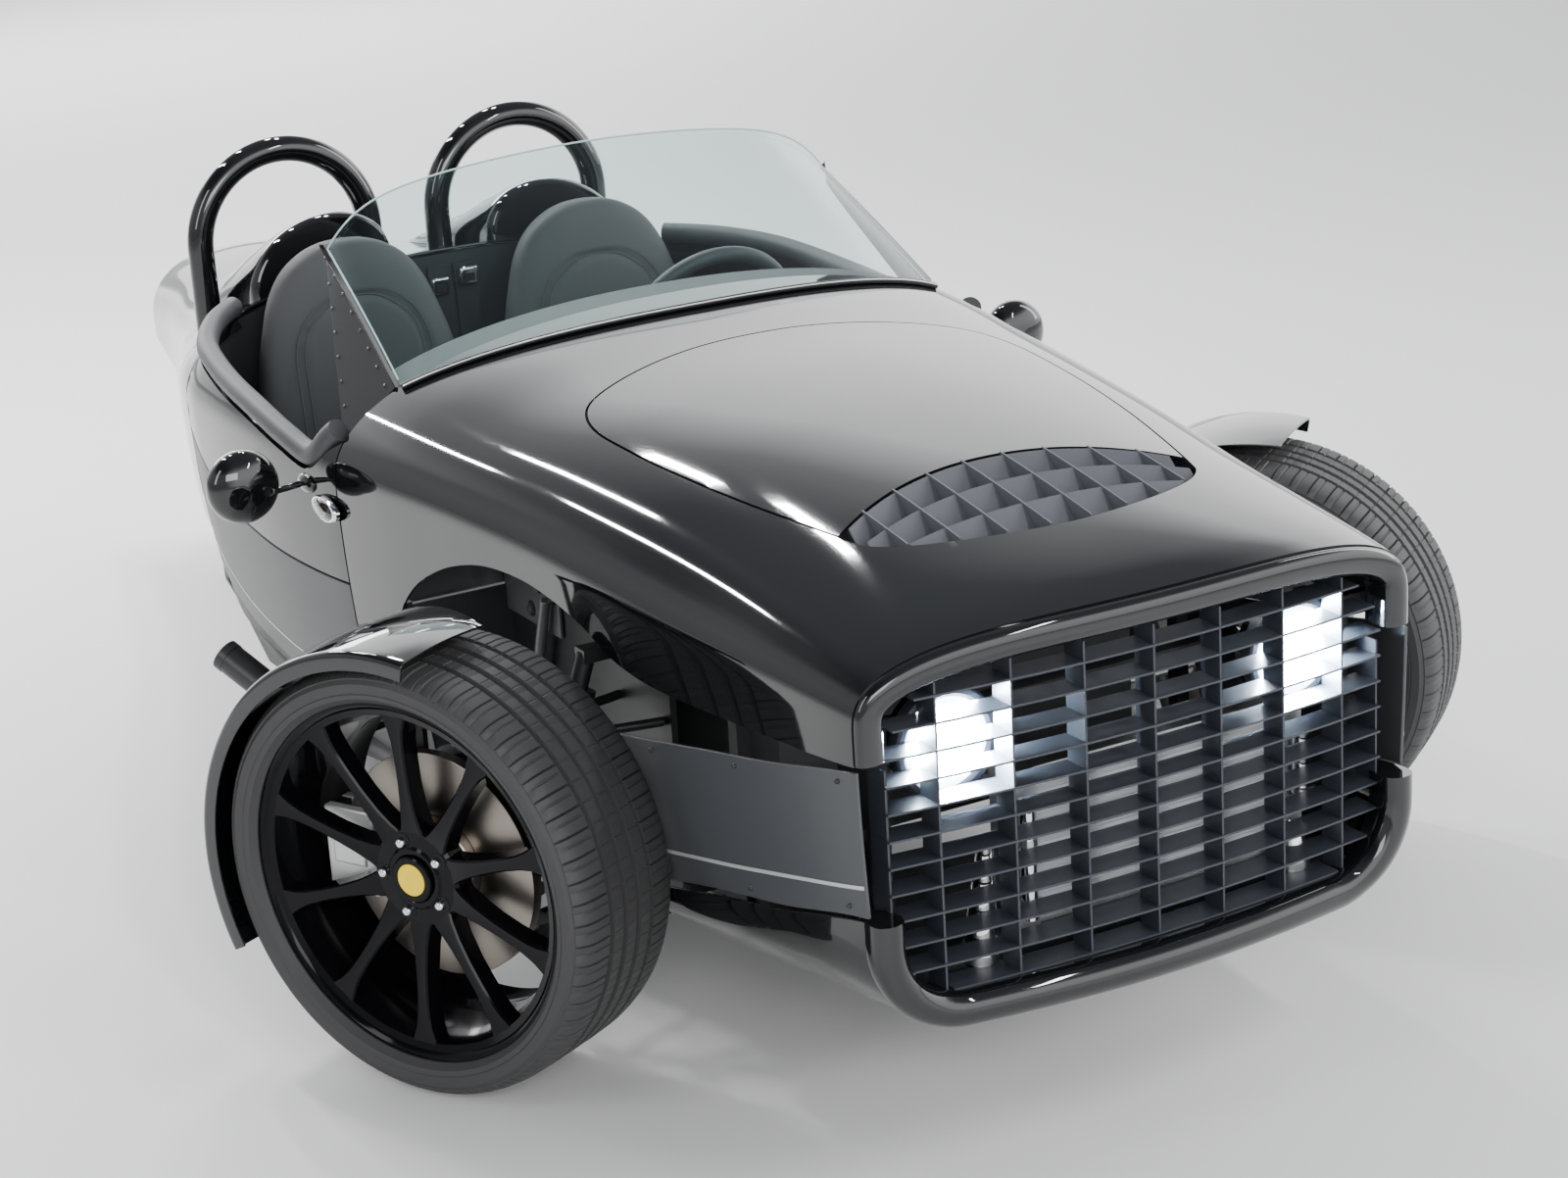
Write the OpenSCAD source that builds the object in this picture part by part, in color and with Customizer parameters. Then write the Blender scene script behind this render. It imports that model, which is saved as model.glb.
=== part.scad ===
// Open three wheeled roadster: two steered front wheels, one rear wheel.
// Millimetres. Front faces -Y, the car's left is +X, the ground is z = 0.
// Stations are measured back from the front axle; heights from the ground.

/* [Chassis] */
// Distance from front axle to rear axle
wheelbase = 2400; // [2350:5:2450]
// Nose ahead of the front axle
front_overhang = 738; // [730:1:750]
// Tail behind the rear axle
rear_overhang = 340; // [332:1:360]
// Steering axis to centre plane
kingpin_x = 695; // [685:1:720]
// Wheel centre outboard of the steering axis
hub_offset = 30; // [26:1:34]
// Steering angle of the right wheel as parked
steer_right = 27; // [20:1:30]
// Steering angle of the left wheel as parked
steer_left = 36; // [28:1:38]

/* [Front wheels] */
// Outer diameter of a front tyre
front_tyre_d = 640; // [620:2:650]
// Width of a front tyre
front_tyre_w = 225; // [205:5:235]
// Outer diameter of a front rim's flange
front_rim_d = 529; // [500:1:535]
// Number of spokes in every wheel
spokes = 10; // [6:1:12]
// Diameter of the brake disc
disc_d = 330; // [280:5:350]

/* [Rear wheel] */
// Outer diameter of the rear tyre
rear_tyre_d = 657; // [640:1:670]
// Width of the rear tyre
rear_tyre_w = 265; // [255:5:275]
// Outer diameter of the rear rim's flange
rear_rim_d = 529; // [500:1:535]

/* [Body] */
// Thickness of the painted shells
shell_t = 5; // [3:0.5:8]
// Gap between neighbouring panels
panel_gap = 4; // [2:0.5:6]
// Depth of the frame round the grille
brow_t = 40; // [25:1:50]
// Station of the seam behind the front wheel arch
door_seam = 585; // [570:1:600]
// Station where the tail shell starts
tail_start = 1480; // [1460:5:1500]
// Thickness of the cabin's side walls
wall_t = 26; // [18:1:34]
// Radius of the padded cockpit rim
rim_pad_r = 19; // [14:1:22]

/* [Grille] */
// Number of upright bars
bars = 9; // [7:1:11]
// Distance between bars
bar_pitch = 108; // [100:1:109]
// Distance between slats
slat_pitch = 37; // [32:1:48]
// Depth of a slat from front to back
slat_depth = 46; // [30:1:50]
// Thickness of slats and bars
slat_t = 3; // [2:0.5:4]
// Height of the lowest slat
grille_low = 262; // [262:1:270]
// Height of the highest point of the opening
grille_high = 705; // [700:1:708]

/* [Bonnet vent] */
// Number of blades that run lengthwise
vent_blades = 8; // [5:1:9]
// Depth of the vent's blades
vent_depth = 34; // [20:1:40]

/* [Cockpit] */
// Centre of each seat from the centre plane
seat_x = 240; // [225:1:250]
// Width of a seat's cushion
seat_w = 420; // [380:5:440]
// Top of the seat backs
seat_top = 925; // [880:5:940]
// Radius of a roll hoop at the tube's centre
hoop_r = 166; // [150:1:180]
// Diameter of the roll hoop's tube
hoop_tube_d = 48; // [38:1:52]
// Highest point of the roll hoops
hoop_top = 1055; // [1000:5:1100]
// Station of the roll hoops
hoop_y = 1680; // [1640:5:1720]
// Diameter of the steering wheel
steering_wheel_d = 340; // [320:5:370]
// Slope of the steering wheel from upright
steering_wheel_tilt = 24; // [15:1:35]

/* [Windscreen] */
// Thickness of the glass
glass_t = 6; // [4:0.5:8]
// Highest point of the glass
glass_top = 1121; // [1080:1:1150]

/* [Hidden] */

$fn = 48;
clear = 0.4;
overall = front_overhang + wheelbase + rear_overhang;
front_axle_y = front_overhang - overall / 2;
lamp_depth = 22;
tail_end = wheelbase + rear_overhang - lamp_depth;

// The body's outer surface: one row for each station
half_width = 1;
crown = 2;
crease = 3;
tuck = 4;
power = 5;
BODY = [
    // station, half width, crown, crease, tuck, power
    [-745, 428, 738, 634, 12, 3.2],
    [-660, 446, 768, 644, 14, 2.7],
    [-520, 463, 800, 654, 18, 2.4],
    [-330, 483, 834, 664, 20, 2.25],
    [-100, 510, 863, 688, 22, 2.2],
    [100, 534, 880, 704, 24, 2.2],
    [320, 566, 893, 714, 26, 2.2],
    [480, 590, 906, 714, 28, 2.2],
    [640, 608, 918, 712, 32, 2.2],
    [900, 620, 940, 708, 40, 2.2],
    [1200, 606, 930, 700, 44, 2.2],
    [1340, 580, 892, 688, 44, 2.2],
    [1480, 540, 842, 670, 42, 2.2],
    [1700, 462, 800, 640, 36, 2.2],
    [1900, 384, 770, 610, 30, 2.2],
    [2100, 318, 746, 588, 26, 2.2],
    [2300, 264, 724, 568, 22, 2.2],
    [2500, 216, 692, 544, 18, 2.2],
    [2780, 160, 630, 508, 14, 2.2]
];
tuck_base = 320;

function seg(t, x, i = 0) = i >= len(t) - 2 || x < t[i + 1][0] ? i : seg(t, x, i + 1);
function slope(t, i, c) =
    let (a = max(i - 1, 0), b = min(i + 1, len(t) - 1))
    (t[b][c] - t[a][c]) / (t[b][0] - t[a][0]);
// Smooth curve through one column of a table
function smooth(t, x, c) =
    let (i = seg(t, x), h = t[i + 1][0] - t[i][0], s = (x - t[i][0]) / h)
    t[i][c] * (2 * s ^ 3 - 3 * s ^ 2 + 1) + slope(t, i, c) * h * (s ^ 3 - 2 * s ^ 2 + s)
    + t[i + 1][c] * (3 * s ^ 2 - 2 * s ^ 3) + slope(t, i + 1, c) * h * (s ^ 3 - s ^ 2);
function steps(a, b, n) = [for (i = [0:n]) a + (b - a) * i / n];

// Half width of the body at a station and height
function body_x(y, z) =
    let (w = smooth(BODY, y, half_width), c = smooth(BODY, y, crease),
        top = smooth(BODY, y, crown), n = smooth(BODY, y, power))
    z >= c ? w * max(0, 1 - min(1, (z - c) / (top - c)) ^ n) ^ (1 / n)
    : w - smooth(BODY, y, tuck) * ((c - z) / (c - tuck_base)) ^ 1.8;
// Height of the body's upper surface at a station and distance from the centre plane
function body_z(y, x) =
    let (w = smooth(BODY, y, half_width), c = smooth(BODY, y, crease),
        top = smooth(BODY, y, crown), n = smooth(BODY, y, power))
    c + (top - c) * max(0, 1 - min(1, abs(x) / w) ^ n) ^ (1 / n);
// Point of the upper surface: v runs from -1 at the right crease to 1 at the left one
function upper(y, v) =
    let (n = smooth(BODY, y, power), a = abs(v) * 90,
        x = smooth(BODY, y, half_width) * sin(a) ^ (2 / n),
        c = smooth(BODY, y, crease))
    [sign(v) * x, y, c + (smooth(BODY, y, crown) - c) * cos(a) ^ (2 / n)];
// Plan curve of the nose's front, bowed forwards at the centre
function bow(x) = 196e-6 * x ^ 2 - 121e-12 * x ^ 4;

// Places the stations in the part's frame
module from_axle() {
    translate([0, front_axle_y, 0]) children();
}

module both() {
    children();
    mirror([1, 0, 0]) children();
}

// Solid between a surface f(u, v), sunk by `from`, and its inward offset by t(u, v)
module skin(f, us, vs, t, from = 0) {
    nu = len(us);
    nv = len(vs);
    P = [for (u = us) [for (v = vs) f(u, v)]];
    function out(i, j) =
        let (a = P[min(i + 1, nu - 1)][j] - P[max(i - 1, 0)][j],
            b = P[i][min(j + 1, nv - 1)] - P[i][max(j - 1, 0)], n = cross(b, a))
        n / norm(n);
    outer = [for (i = [0:nu - 1]) for (j = [0:nv - 1]) P[i][j] - out(i, j) * from];
    inner = [for (i = [0:nu - 1]) for (j = [0:nv - 1]) P[i][j] - out(i, j) * t(us[i], vs[j])];
    m = nu * nv;
    quads = [
        for (i = [0:nu - 2]) for (j = [0:nv - 2])
            let (a = i * nv + j, b = a + nv) each [[a, b, b + 1], [a, b + 1, a + 1],
                [m + a, m + b + 1, m + b], [m + a, m + a + 1, m + b + 1]],
        for (i = [0:nu - 2])
            let (a = i * nv, b = a + nv, c = a + nv - 1, d = b + nv - 1)
            each [[a, m + a, m + b], [a, m + b, b], [c, m + d, m + c], [c, d, m + d]],
        for (j = [0:nv - 2])
            let (c = (nu - 1) * nv + j)
            each [[j, m + j + 1, m + j], [j, j + 1, m + j + 1],
                [c, m + c, m + c + 1], [c, m + c + 1, c + 1]]
    ];
    polyhedron(points = concat(outer, inner), faces = quads, convexity = 8);
}

// Closed loft through rings of equal length, with flat ends
module loft(rings) {
    n = len(rings[0]);
    k = len(rings);
    points = [for (r = rings) for (p = r) p];
    sides = [for (i = [0:k - 2]) for (j = [0:n - 1])
        let (a = i * n + j, b = i * n + (j + 1) % n)
        each [[a, b, b + n], [a, b + n, a + n]]];
    polyhedron(points = points, faces = concat(sides,
        [[for (j = [n - 1:-1:0]) j]], [[for (j = [0:n - 1]) (k - 1) * n + j]]), convexity = 4);
}

// Straight round bar between two points
module rod(a, b, r) {
    d = b - a;
    translate(a) rotate([0, acos(d[2] / norm(d)), atan2(d[1], d[0])]) cylinder(r = r, h = norm(d));
}

// Round tube through a list of points
module tube(path, r, sides = 10) {
    n = len(path);
    function dir(i) = let (d = path[min(i + 1, n - 1)] - path[max(i - 1, 0)]) d / norm(d);
    function ring(i) =
        let (d = dir(i), a = abs(d[2]) > 0.9 ? [0, 1, 0] : [0, 0, 1],
            e = cross(d, a) / norm(cross(d, a)), g = cross(e, d))
        [for (k = [0:sides - 1]) let (q = -360 * k / sides) path[i] + r * (e * cos(q) + g * sin(q))];
    loft([for (i = [0:n - 1]) ring(i)]);
}

// Bonnet outline in plan: station, half width
HOOD = [[-532, 0], [-524, 90], [-504, 170], [-476, 230], [-446, 264], [-420, 276], [-330, 300],
    [-200, 330], [-50, 354], [60, 364], [140, 366], [200, 352], [240, 322], [272, 262], [300, 180],
    [318, 90], [323, 0]];
// Station of the vent's rear edge at a distance from the centre plane
function vent_rear(x) = -312 - 1.05e-3 * x ^ 2;

module hood_outline(grow) {
    offset(delta = grow)
        polygon(concat([for (r = HOOD) [r[1], r[0]]],
            [for (i = [len(HOOD) - 2:-1:1]) [-HOOD[i][1], HOOD[i][0]]]));
}

// Everything ahead of the vent's rear edge
module vent_region() {
    polygon(concat([[400, -700], [-400, -700]], [for (x = [-400:50:400]) [x, vent_rear(x)]]));
}

module vent_outline(grow) {
    offset(delta = grow)
        intersection() {
            hood_outline(clear - panel_gap / 2);
            vent_region();
        }
}

// Bonnet hinges: pins under the cowl, with arms that reach down and forward to the panel
hinge_x = 150;
hinge_y = 400;
hinge_z = 868;
hinge_pin_r = 8;
arm_w = 12;
arm_boss_r = 7.5;
arm_t = 8;
HINGE_ARM = [[hinge_y, hinge_z], [384, 812], [326, 756], [284, 776], [272, 840], [272, 881.5]];
module hinge_arm() {
    last = len(HINGE_ARM) - 2;
    rotate([90, 0, 90])
        translate([0, 0, -arm_t / 2])
            linear_extrude(arm_t) {
                for (i = [0:last])
                    let (a = HINGE_ARM[i], d = HINGE_ARM[i + 1] - a)
                    translate(a) rotate(atan2(d[1], d[0])) translate([0, -arm_w / 2]) square([norm(d), arm_w]);
                for (i = [1:last]) translate(HINGE_ARM[i]) circle(r = arm_boss_r);
            }
    translate([-18, hinge_y, hinge_z]) rotate([0, 90, 0]) cylinder(r = hinge_pin_r, h = 36);
}

module hinge_lug() {
    rotate([90, 0, 90])
        linear_extrude(6)
            difference() {
                polygon([[380, 890.5], [420, 894.5], [412, 856], [388, 856]]);
                translate([hinge_y, hinge_z]) circle(r = hinge_pin_r + clear);
            }
}

// Lower edge of the nose shell, with the wheel arch: station, height
NOSE_EDGE = [[-745, 604], [-660, 598], [-500, 592], [-254, 588], [-150, 602], [-60, 640], [50, 666],
    [150, 670], [230, 658], [320, 626], [400, 574], [455, 500], [482, 400], [498, 330], [600, 322]];
nose_front = -725;
function nose_pt(u, v) =
    let (s = min(1, abs(v) / 0.8), y0 = nose_front + bow(437 * sin(s * 90) ^ 0.7),
        y = y0 + (door_seam - panel_gap / 2 - y0) * u, a = upper(y, sign(v) * s),
        c = smooth(BODY, y, crease), k = max(0, (abs(v) - 0.8) / 0.2),
        z = c + (smooth(NOSE_EDGE, y, 1) - c) * k)
    k == 0 ? a : [sign(v) * body_x(y, z), y, z];

module nose_shell() {
    us = [0, 0.012, 0.035, 0.08, 0.15, 0.24, 0.33, 0.42, 0.5, 0.57, 0.64, 0.71, 0.77, 0.82,
        0.86, 0.895, 0.915, 0.93, 0.945, 1];
    vh = [0.06, 0.14, 0.22, 0.3, 0.38, 0.46, 0.54, 0.61, 0.68, 0.74, 0.8, 0.86, 0.93, 1];
    vs = concat([for (i = [len(vh) - 1:-1:0]) -vh[i]], vh);
    color("#101114")
        from_axle()
            union() {
                difference() {
                    skin(function(u, v) nose_pt(u, v), us, vs,
                        function(u, v) shell_t + (brow_t - shell_t) * max(0, 1 - u / 0.03));
                    translate([0, 0, 700]) linear_extrude(300) hood_outline(panel_gap / 2);
                }
                // Ledge that the bonnet rests on
                difference() {
                    intersection() {
                        hood_skin(hood_t + clear, shell_t + 4);
                        translate([0, 0, 700]) linear_extrude(300) hood_outline(panel_gap / 2 + 12);
                    }
                    translate([0, 0, 700]) linear_extrude(300) hood_outline(-9);
                    translate([0, 10, 700]) linear_extrude(300) vent_region();
                }
                both() for (d = [-17, 11]) translate([hinge_x + d, 0, 0]) hinge_lug();
            }
}

hood_t = shell_t - 0.8;
module hood_skin(from, to) {
    skin(function(u, v) upper(u, v), steps(-560, 340, 10), steps(-0.72, 0.72, 18),
        function(u, v) to, from);
}

module hood_panel() {
    color("#141519")
        from_axle()
            union() {
                difference() {
                    intersection() {
                        hood_skin(0, hood_t);
                        translate([0, 0, 700]) linear_extrude(300) hood_outline(-panel_gap / 2);
                    }
                    translate([0, 0, 700]) linear_extrude(300) vent_region();
                }
                both() translate([hinge_x, 0, 0]) hinge_arm();
            }
}

module hood_vent() {
    color("#55585c")
        from_axle()
            intersection() {
                skin(function(u, v) upper(u, v) - [0, 0, 1], steps(-560, -240, 4),
                    steps(-0.5, 0.5, 8), function(u, v) vent_depth);
                translate([0, 0, 700]) linear_extrude(300) vent_outline(-clear);
                union() {
                    translate([0, 0, 700])
                        linear_extrude(300)
                            difference() {
                                vent_outline(0);
                                vent_outline(-5);
                            }
                    for (i = [0:vent_blades - 1])
                        translate([(i - (vent_blades - 1) / 2) * 64 - 1.5, -560, 700])
                            cube([3, 330, 300]);
                    for (k = [0.3, 0.64])
                        translate([0, 0, 700])
                            linear_extrude(300)
                                polygon(concat(
                                    [for (x = [-300:60:300]) [x, vent_rear(x) - 226 * k + 5e-4 * x ^ 2]],
                                    [for (x = [300:-60:-300]) [x, vent_rear(x) - 226 * k + 3 + 5e-4 * x ^ 2]]));
                }
            }
}

// Half width of the grille opening at a height: straight sides and round corners
grille_half = 405;
corner_high = 118;
corner_low = 112;
function opening(z) =
    z > grille_high - corner_high
    ? grille_half - 150 * (1 - sqrt(max(0, 1 - ((z - grille_high + corner_high) / corner_high) ^ 2)))
    : z < grille_low - 6 + corner_low
    ? grille_half - 120 * (1 - sqrt(max(0, 1 - ((grille_low - 6 + corner_low - z) / corner_low) ^ 2)))
    : grille_half;
grille_y = -711;
function bar_low(x) = grille_low - 6 + corner_low * (1 - sqrt(max(0, 1 - max(0, (abs(x) - 290) / 120) ^ 2)));
function bar_high(x) = grille_high - 6
    - corner_high * (1 - sqrt(max(0, 1 - max(0, (abs(x) - 262) / 150) ^ 2)));

module main_grille() {
    slats = floor((grille_high - 20 - grille_low) / slat_pitch);
    color("#26282b")
        from_axle()
            union() {
                for (i = [0:slats])
                    let (z = grille_low + i * slat_pitch, w = opening(z) - 9)
                    translate([0, grille_y, z])
                        linear_extrude(slat_t)
                            polygon(concat([for (x = steps(-w, w, 8)) [x, bow(x)]],
                                [for (x = steps(w, -w, 8)) [x, bow(x) + slat_depth]]));
                for (i = [0:bars - 1])
                    let (x = (i - (bars - 1) / 2) * bar_pitch, low = bar_low(x), high = bar_high(x),
                        xx = sign(x) * min(abs(x), grille_half - 11))
                    translate([xx - slat_t / 2, grille_y + bow(x) + 2, low])
                        cube([slat_t, slat_depth - 4, high - low]);
            }
}

// Chin: a tray under the grille with a thick front lip
chin_y = -front_overhang;
chin_low = 222;
CHIN_EDGE = [[-745, 392], [-667, 388], [-500, 348], [-340, 316], [-180, 282]];
function chin_pt(u, v) =
    let (half = 452, y0 = chin_y + bow(430 * min(1, abs(v) / 0.62)), y = y0 + (-190 - y0) * u,
        top = smooth(CHIN_EDGE, y, 1) - panel_gap, r = 130, w = body_x(y, 360) + 2,
        side = max(0, (abs(v) - 0.82) / 0.18), turn = min(1, max(0, (abs(v) - 0.55) / 0.27)),
        low = chin_low - 26 * sin(u * 90))
    abs(v) < 0.55 ? [v / 0.55 * (w - r), y, low]
    : side > 0 ? [sign(v) * w, y, low + min(r, top - low - 10) + (top - low - min(r, top - low - 10)) * side]
    : [sign(v) * (w - r + r * sin(turn * 90)), y, low + min(r, top - low - 10) * (1 - cos(turn * 90))];

module chin() {
    us = [0, 0.06, 0.14, 0.3, 0.5, 0.75, 1];
    vh = [0.12, 0.3, 0.45, 0.55, 0.6, 0.65, 0.7, 0.76, 0.82, 0.9, 1];
    vs = concat([for (i = [len(vh) - 1:-1:0]) -vh[i]], vh);
    color("#101114")
        from_axle()
            mirror([0, 0, 1])
                skin(function(u, v) let (p = chin_pt(u, v)) [p[0], p[1], -p[2]], us, vs,
                    function(u, v) shell_t + 32 * max(0, 1 - u / 0.14));
}

// Satin panels between the nose shell and the chin
PANEL = [[-745, 392, 596], [-667, 390, 590], [-500, 350, 556], [-340, 320, 528], [-180, 286, 500],
    [-66, 268, 484]];
module side_panels() {
    color("#33363a")
        from_axle()
            both()
                skin(function(u, v)
                        let (y0 = -686, y = y0 + (-84 - 96 * v - y0) * u,
                            a = smooth(PANEL, y, 2), b = smooth(PANEL, y, 1), z = a + (b - a) * v)
                        [body_x(y, z) + 1, y, z],
                    steps(0, 1, 6), steps(0, 1, 3), function(u, v) shell_t);
}

// Cockpit edge and the seam between the gloss side and the satin sill
RIM = [[560, 786], [600, 768], [660, 722], [700, 712], [780, 724], [900, 742], [1060, 757],
    [1190, 770], [1330, 782], [1480, 786]];
SEAM = [[560, 548], [700, 541], [850, 541], [980, 550], [1080, 566], [1160, 590], [1230, 626],
    [1290, 664], [1340, 690]];
SILL = [[560, 322], [800, 316], [920, 320], [1040, 330], [1140, 346], [1230, 378], [1290, 420],
    [1340, 476]];
sill_end = 1276;
side_gap = panel_gap / 2;
side_start = door_seam + side_gap;
side_finish = tail_start - side_gap;
side_low = 470;
// Stations of the side's sections, closer where the rim dips
side_rows = concat([side_start, side_start + 24, side_start + 48, side_start + 74, side_start + 104],
    steps(740, sill_end, 8), [sill_end + 4], steps(1340, side_finish, 2));
tub_low = 130;
tub_front = 430;
tub_half = 430;
tub_knee = 300;
tub_t = 10;
seat_base = 162.4;
// The tub's wall drops just ahead of the side panel's own step
tub_step = sill_end - 16;
wall_rows = concat([tub_front, 500, 540], [for (y = side_rows) if (y < tub_step) y],
    [tub_step, tub_step + 6], [for (y = side_rows) if (y > sill_end) y]);
function tub_top(y) = (y <= tub_step ? side_edge(y) : side_low) - clear;
// Lower edge of the side panel: the sill's seam, then the tail's edge
function side_edge(y) = y <= sill_end ? smooth(SEAM, max(y, SEAM[0][0]), 1) + side_gap : side_low;
sill_t = shell_t + 3;

module body_side() {
    skin(function(y, v)
            let (a = smooth(RIM, y, 1), z = a + (side_edge(y) - a) * v)
            [body_x(y, z), y, z],
        side_rows, steps(0, 1, 5), function(u, v) wall_t);
}

module body_side_left() {
    color("#101114") from_axle() body_side();
}

module body_side_right() {
    color("#101114") from_axle() mirror([1, 0, 0]) body_side();
}

module sills() {
    color("#33363a")
        from_axle()
            both()
                skin(function(y, v)
                        let (a = smooth(SEAM, y, 1) - side_gap, z = a + (smooth(SILL, y, 1) - a) * v)
                        [body_x(y, z), y, z],
                    concat([for (y = side_rows) if (y < sill_end) y], [sill_end - 5]), steps(0, 1, 4),
                    function(u, v) sill_t);
}

// Lower edge of the tail: station, height
TAIL_EDGE = [[1470, 470], [1700, 450], [1900, 436], [2050, 442], [2250, 450], [2500, 458], [2780, 474]];
function tail_pt(u, v) =
    let (y = tail_start + (tail_end - tail_start) * u, s = min(1, abs(v) / 0.72),
        k = max(0, (abs(v) - 0.72) / 0.28), c = smooth(BODY, y, crease),
        z = c + (smooth(TAIL_EDGE, y, 1) - c) * k)
    k == 0 ? upper(y, sign(v) * s) : [sign(v) * body_x(y, z), y, z];

module tail_shell() {
    vh = [0.06, 0.16, 0.26, 0.36, 0.46, 0.54, 0.61, 0.67, 0.72, 0.82, 0.92, 1];
    vs = concat([for (i = [len(vh) - 1:-1:0]) -vh[i]], vh);
    leg = hoop_r;
    color("#101114")
        from_axle() {
            difference() {
                union() {
                    skin(function(u, v) tail_pt(u, v), steps(0, 1, 12), vs, function(u, v) shell_t);
                    // Rear face
                    loft([for (y = [tail_end - 3, tail_end - 8])
                        [for (v = vs) let (p = tail_pt((y - tail_start) / (tail_end - tail_start), v))
                            [p[0] * 0.99, y, p[2] - 2.5]]]);
                }
                for (s = [-1, 1]) for (d = [-leg, leg])
                    translate([s * (seat_x - 4) + d, hoop_y, 400])
                        cylinder(r = hoop_tube_d / 2 + 3, h = 600, $fn = 24);
            }
        }
}

// Humps behind the seats: station, half width, height over the deck
HUMP = [[1496, 158, 108], [1540, 172, 112], [1620, 176, 98], [1700, 158, 76], [1800, 126, 52],
    [1900, 88, 28], [1990, 46, 10]];
deck_gap = 2.5;
// Height of the tail's faceted deck between two of its sections
tail_rows = steps(tail_start, tail_end, 12);
function deck_z(y, x) =
    let (i = min(floor((y - tail_start) / (tail_rows[1] - tail_rows[0])), 11), a = tail_rows[i], b = tail_rows[i + 1])
    body_z(a, x) + (body_z(b, x) - body_z(a, x)) * (y - a) / (b - a);
module seat_fairings() {
    color("#101114")
        from_axle()
            for (s = [-1, 1])
                loft([for (y = concat([1496, 1540], [for (r = tail_rows) if (r > 1550 && r < 1960) r], [1990]))
                    let (w = min(smooth(HUMP, y, 1), hoop_r - hoop_tube_d / 2 - 4),
                        h = smooth(HUMP, y, 2), cx = s * (seat_x - 4 - 0.2 * max(0, y - 1720)))
                    concat(
                        [for (a = [180:-20:0]) let (x = cx + w * cos(a))
                            [x, y, deck_z(y, x) + deck_gap + h * sin(a) ^ 0.8]],
                        [for (k = [0.6, 0.2, -0.2, -0.6]) let (x = cx + w * k)
                            [x, y, deck_z(y, x) + deck_gap]])]);
}

module cockpit_rim() {
    color("#1c1d20")
        from_axle()
            both()
                tube([for (y = concat([for (y = side_rows) if (y > door_seam + 20 && y < 1420) y], [1450]))
                    let (m = (smooth(RIM, y + 20, 1) - smooth(RIM, y - 20, 1)) / 40)
                    [body_x(y, smooth(RIM, y, 1)) - wall_t / 2 - 2, y,
                        smooth(RIM, y, 1) + (rim_pad_r + 2) * sqrt(1 + m ^ 2)]],
                    rim_pad_r, 10);
}

// Floor, lower walls and firewall of the cockpit
function tub_wall(y, z) = body_x(y, z) - sill_t - 3 * clear;
// Section of the tub: v runs from the right wall's top to the left one's
function tub_pt(y, v) =
    let (a = abs(v), top = tub_top(y),
        z = a > 0.6 ? tub_knee + (top - tub_knee) * (a - 0.6) / 0.4
        : a > 0.4 ? tub_low + (tub_knee - tub_low) * (a - 0.4) / 0.2 : tub_low,
        x = a > 0.6 ? tub_wall(y, z)
        : a > 0.4 ? tub_half + (tub_wall(y, tub_knee) - tub_half) * (a - 0.4) / 0.2 : tub_half * a / 0.4)
    [sign(v) * x, y, -z];
module floor_tub() {
    color("#1a1b1d")
        from_axle()
            union() {
                mirror([0, 0, 1])
                    skin(function(u, v) tub_pt(u, v), wall_rows,
                        [-1, -0.87, -0.73, -0.6, -0.4, -0.2, 0.2, 0.4, 0.6, 0.73, 0.87, 1], function(u, v) tub_t);
                translate([0, tub_front + tub_t, 0])
                    rotate([90, 0, 0])
                        linear_extrude(tub_t)
                            polygon([for (v = [-0.99, -0.73, -0.6, -0.4, 0.4, 0.6, 0.73, 0.99])
                                let (p = tub_pt(tub_front + 1, v)) [p[0] * 0.99, -p[2] + 3]]);
                // Seat bases
                for (s = [-1, 1])
                    translate([s * seat_x - 150, 900, tub_low + tub_t - 1])
                        cube([300, 320, seat_base - tub_low - tub_t + 1]);
            }
}

bulkhead_y = side_finish + clear;
bulkhead_t = 16;
frame_start = bulkhead_y + bulkhead_t + clear;
module bulkhead() {
    y = bulkhead_y + bulkhead_t;
    u = (y - tail_start) / (tail_end - tail_start);
    inset = shell_t + 1.5;
    color("#202124")
        from_axle()
            translate([0, y, 0])
                rotate([90, 0, 0])
                    linear_extrude(bulkhead_t) {
                        offset(delta = -inset)
                            polygon([for (v = concat([for (i = [12:-1:0]) -i / 12], [for (i = [1:12]) i / 12]))
                                let (p = tail_pt(u, v)) [p[0], p[2]]]);
                        polygon([[-tub_half + 8, tub_low + tub_t + clear], [tub_half - 8, tub_low + tub_t + clear],
                            [tub_half + 60, tub_knee], [tub_half + 70, 500], [-tub_half - 70, 500],
                            [-tub_half - 60, tub_knee]]);
                    }
}

// Rails and towers that carry the suspension, the radiator and the lamps
rail_x = 352;
rail_z = 232;
tower_low = 170;
rail_s = 46;
horn_lift = 16;
rail_back = tub_front;
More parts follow.
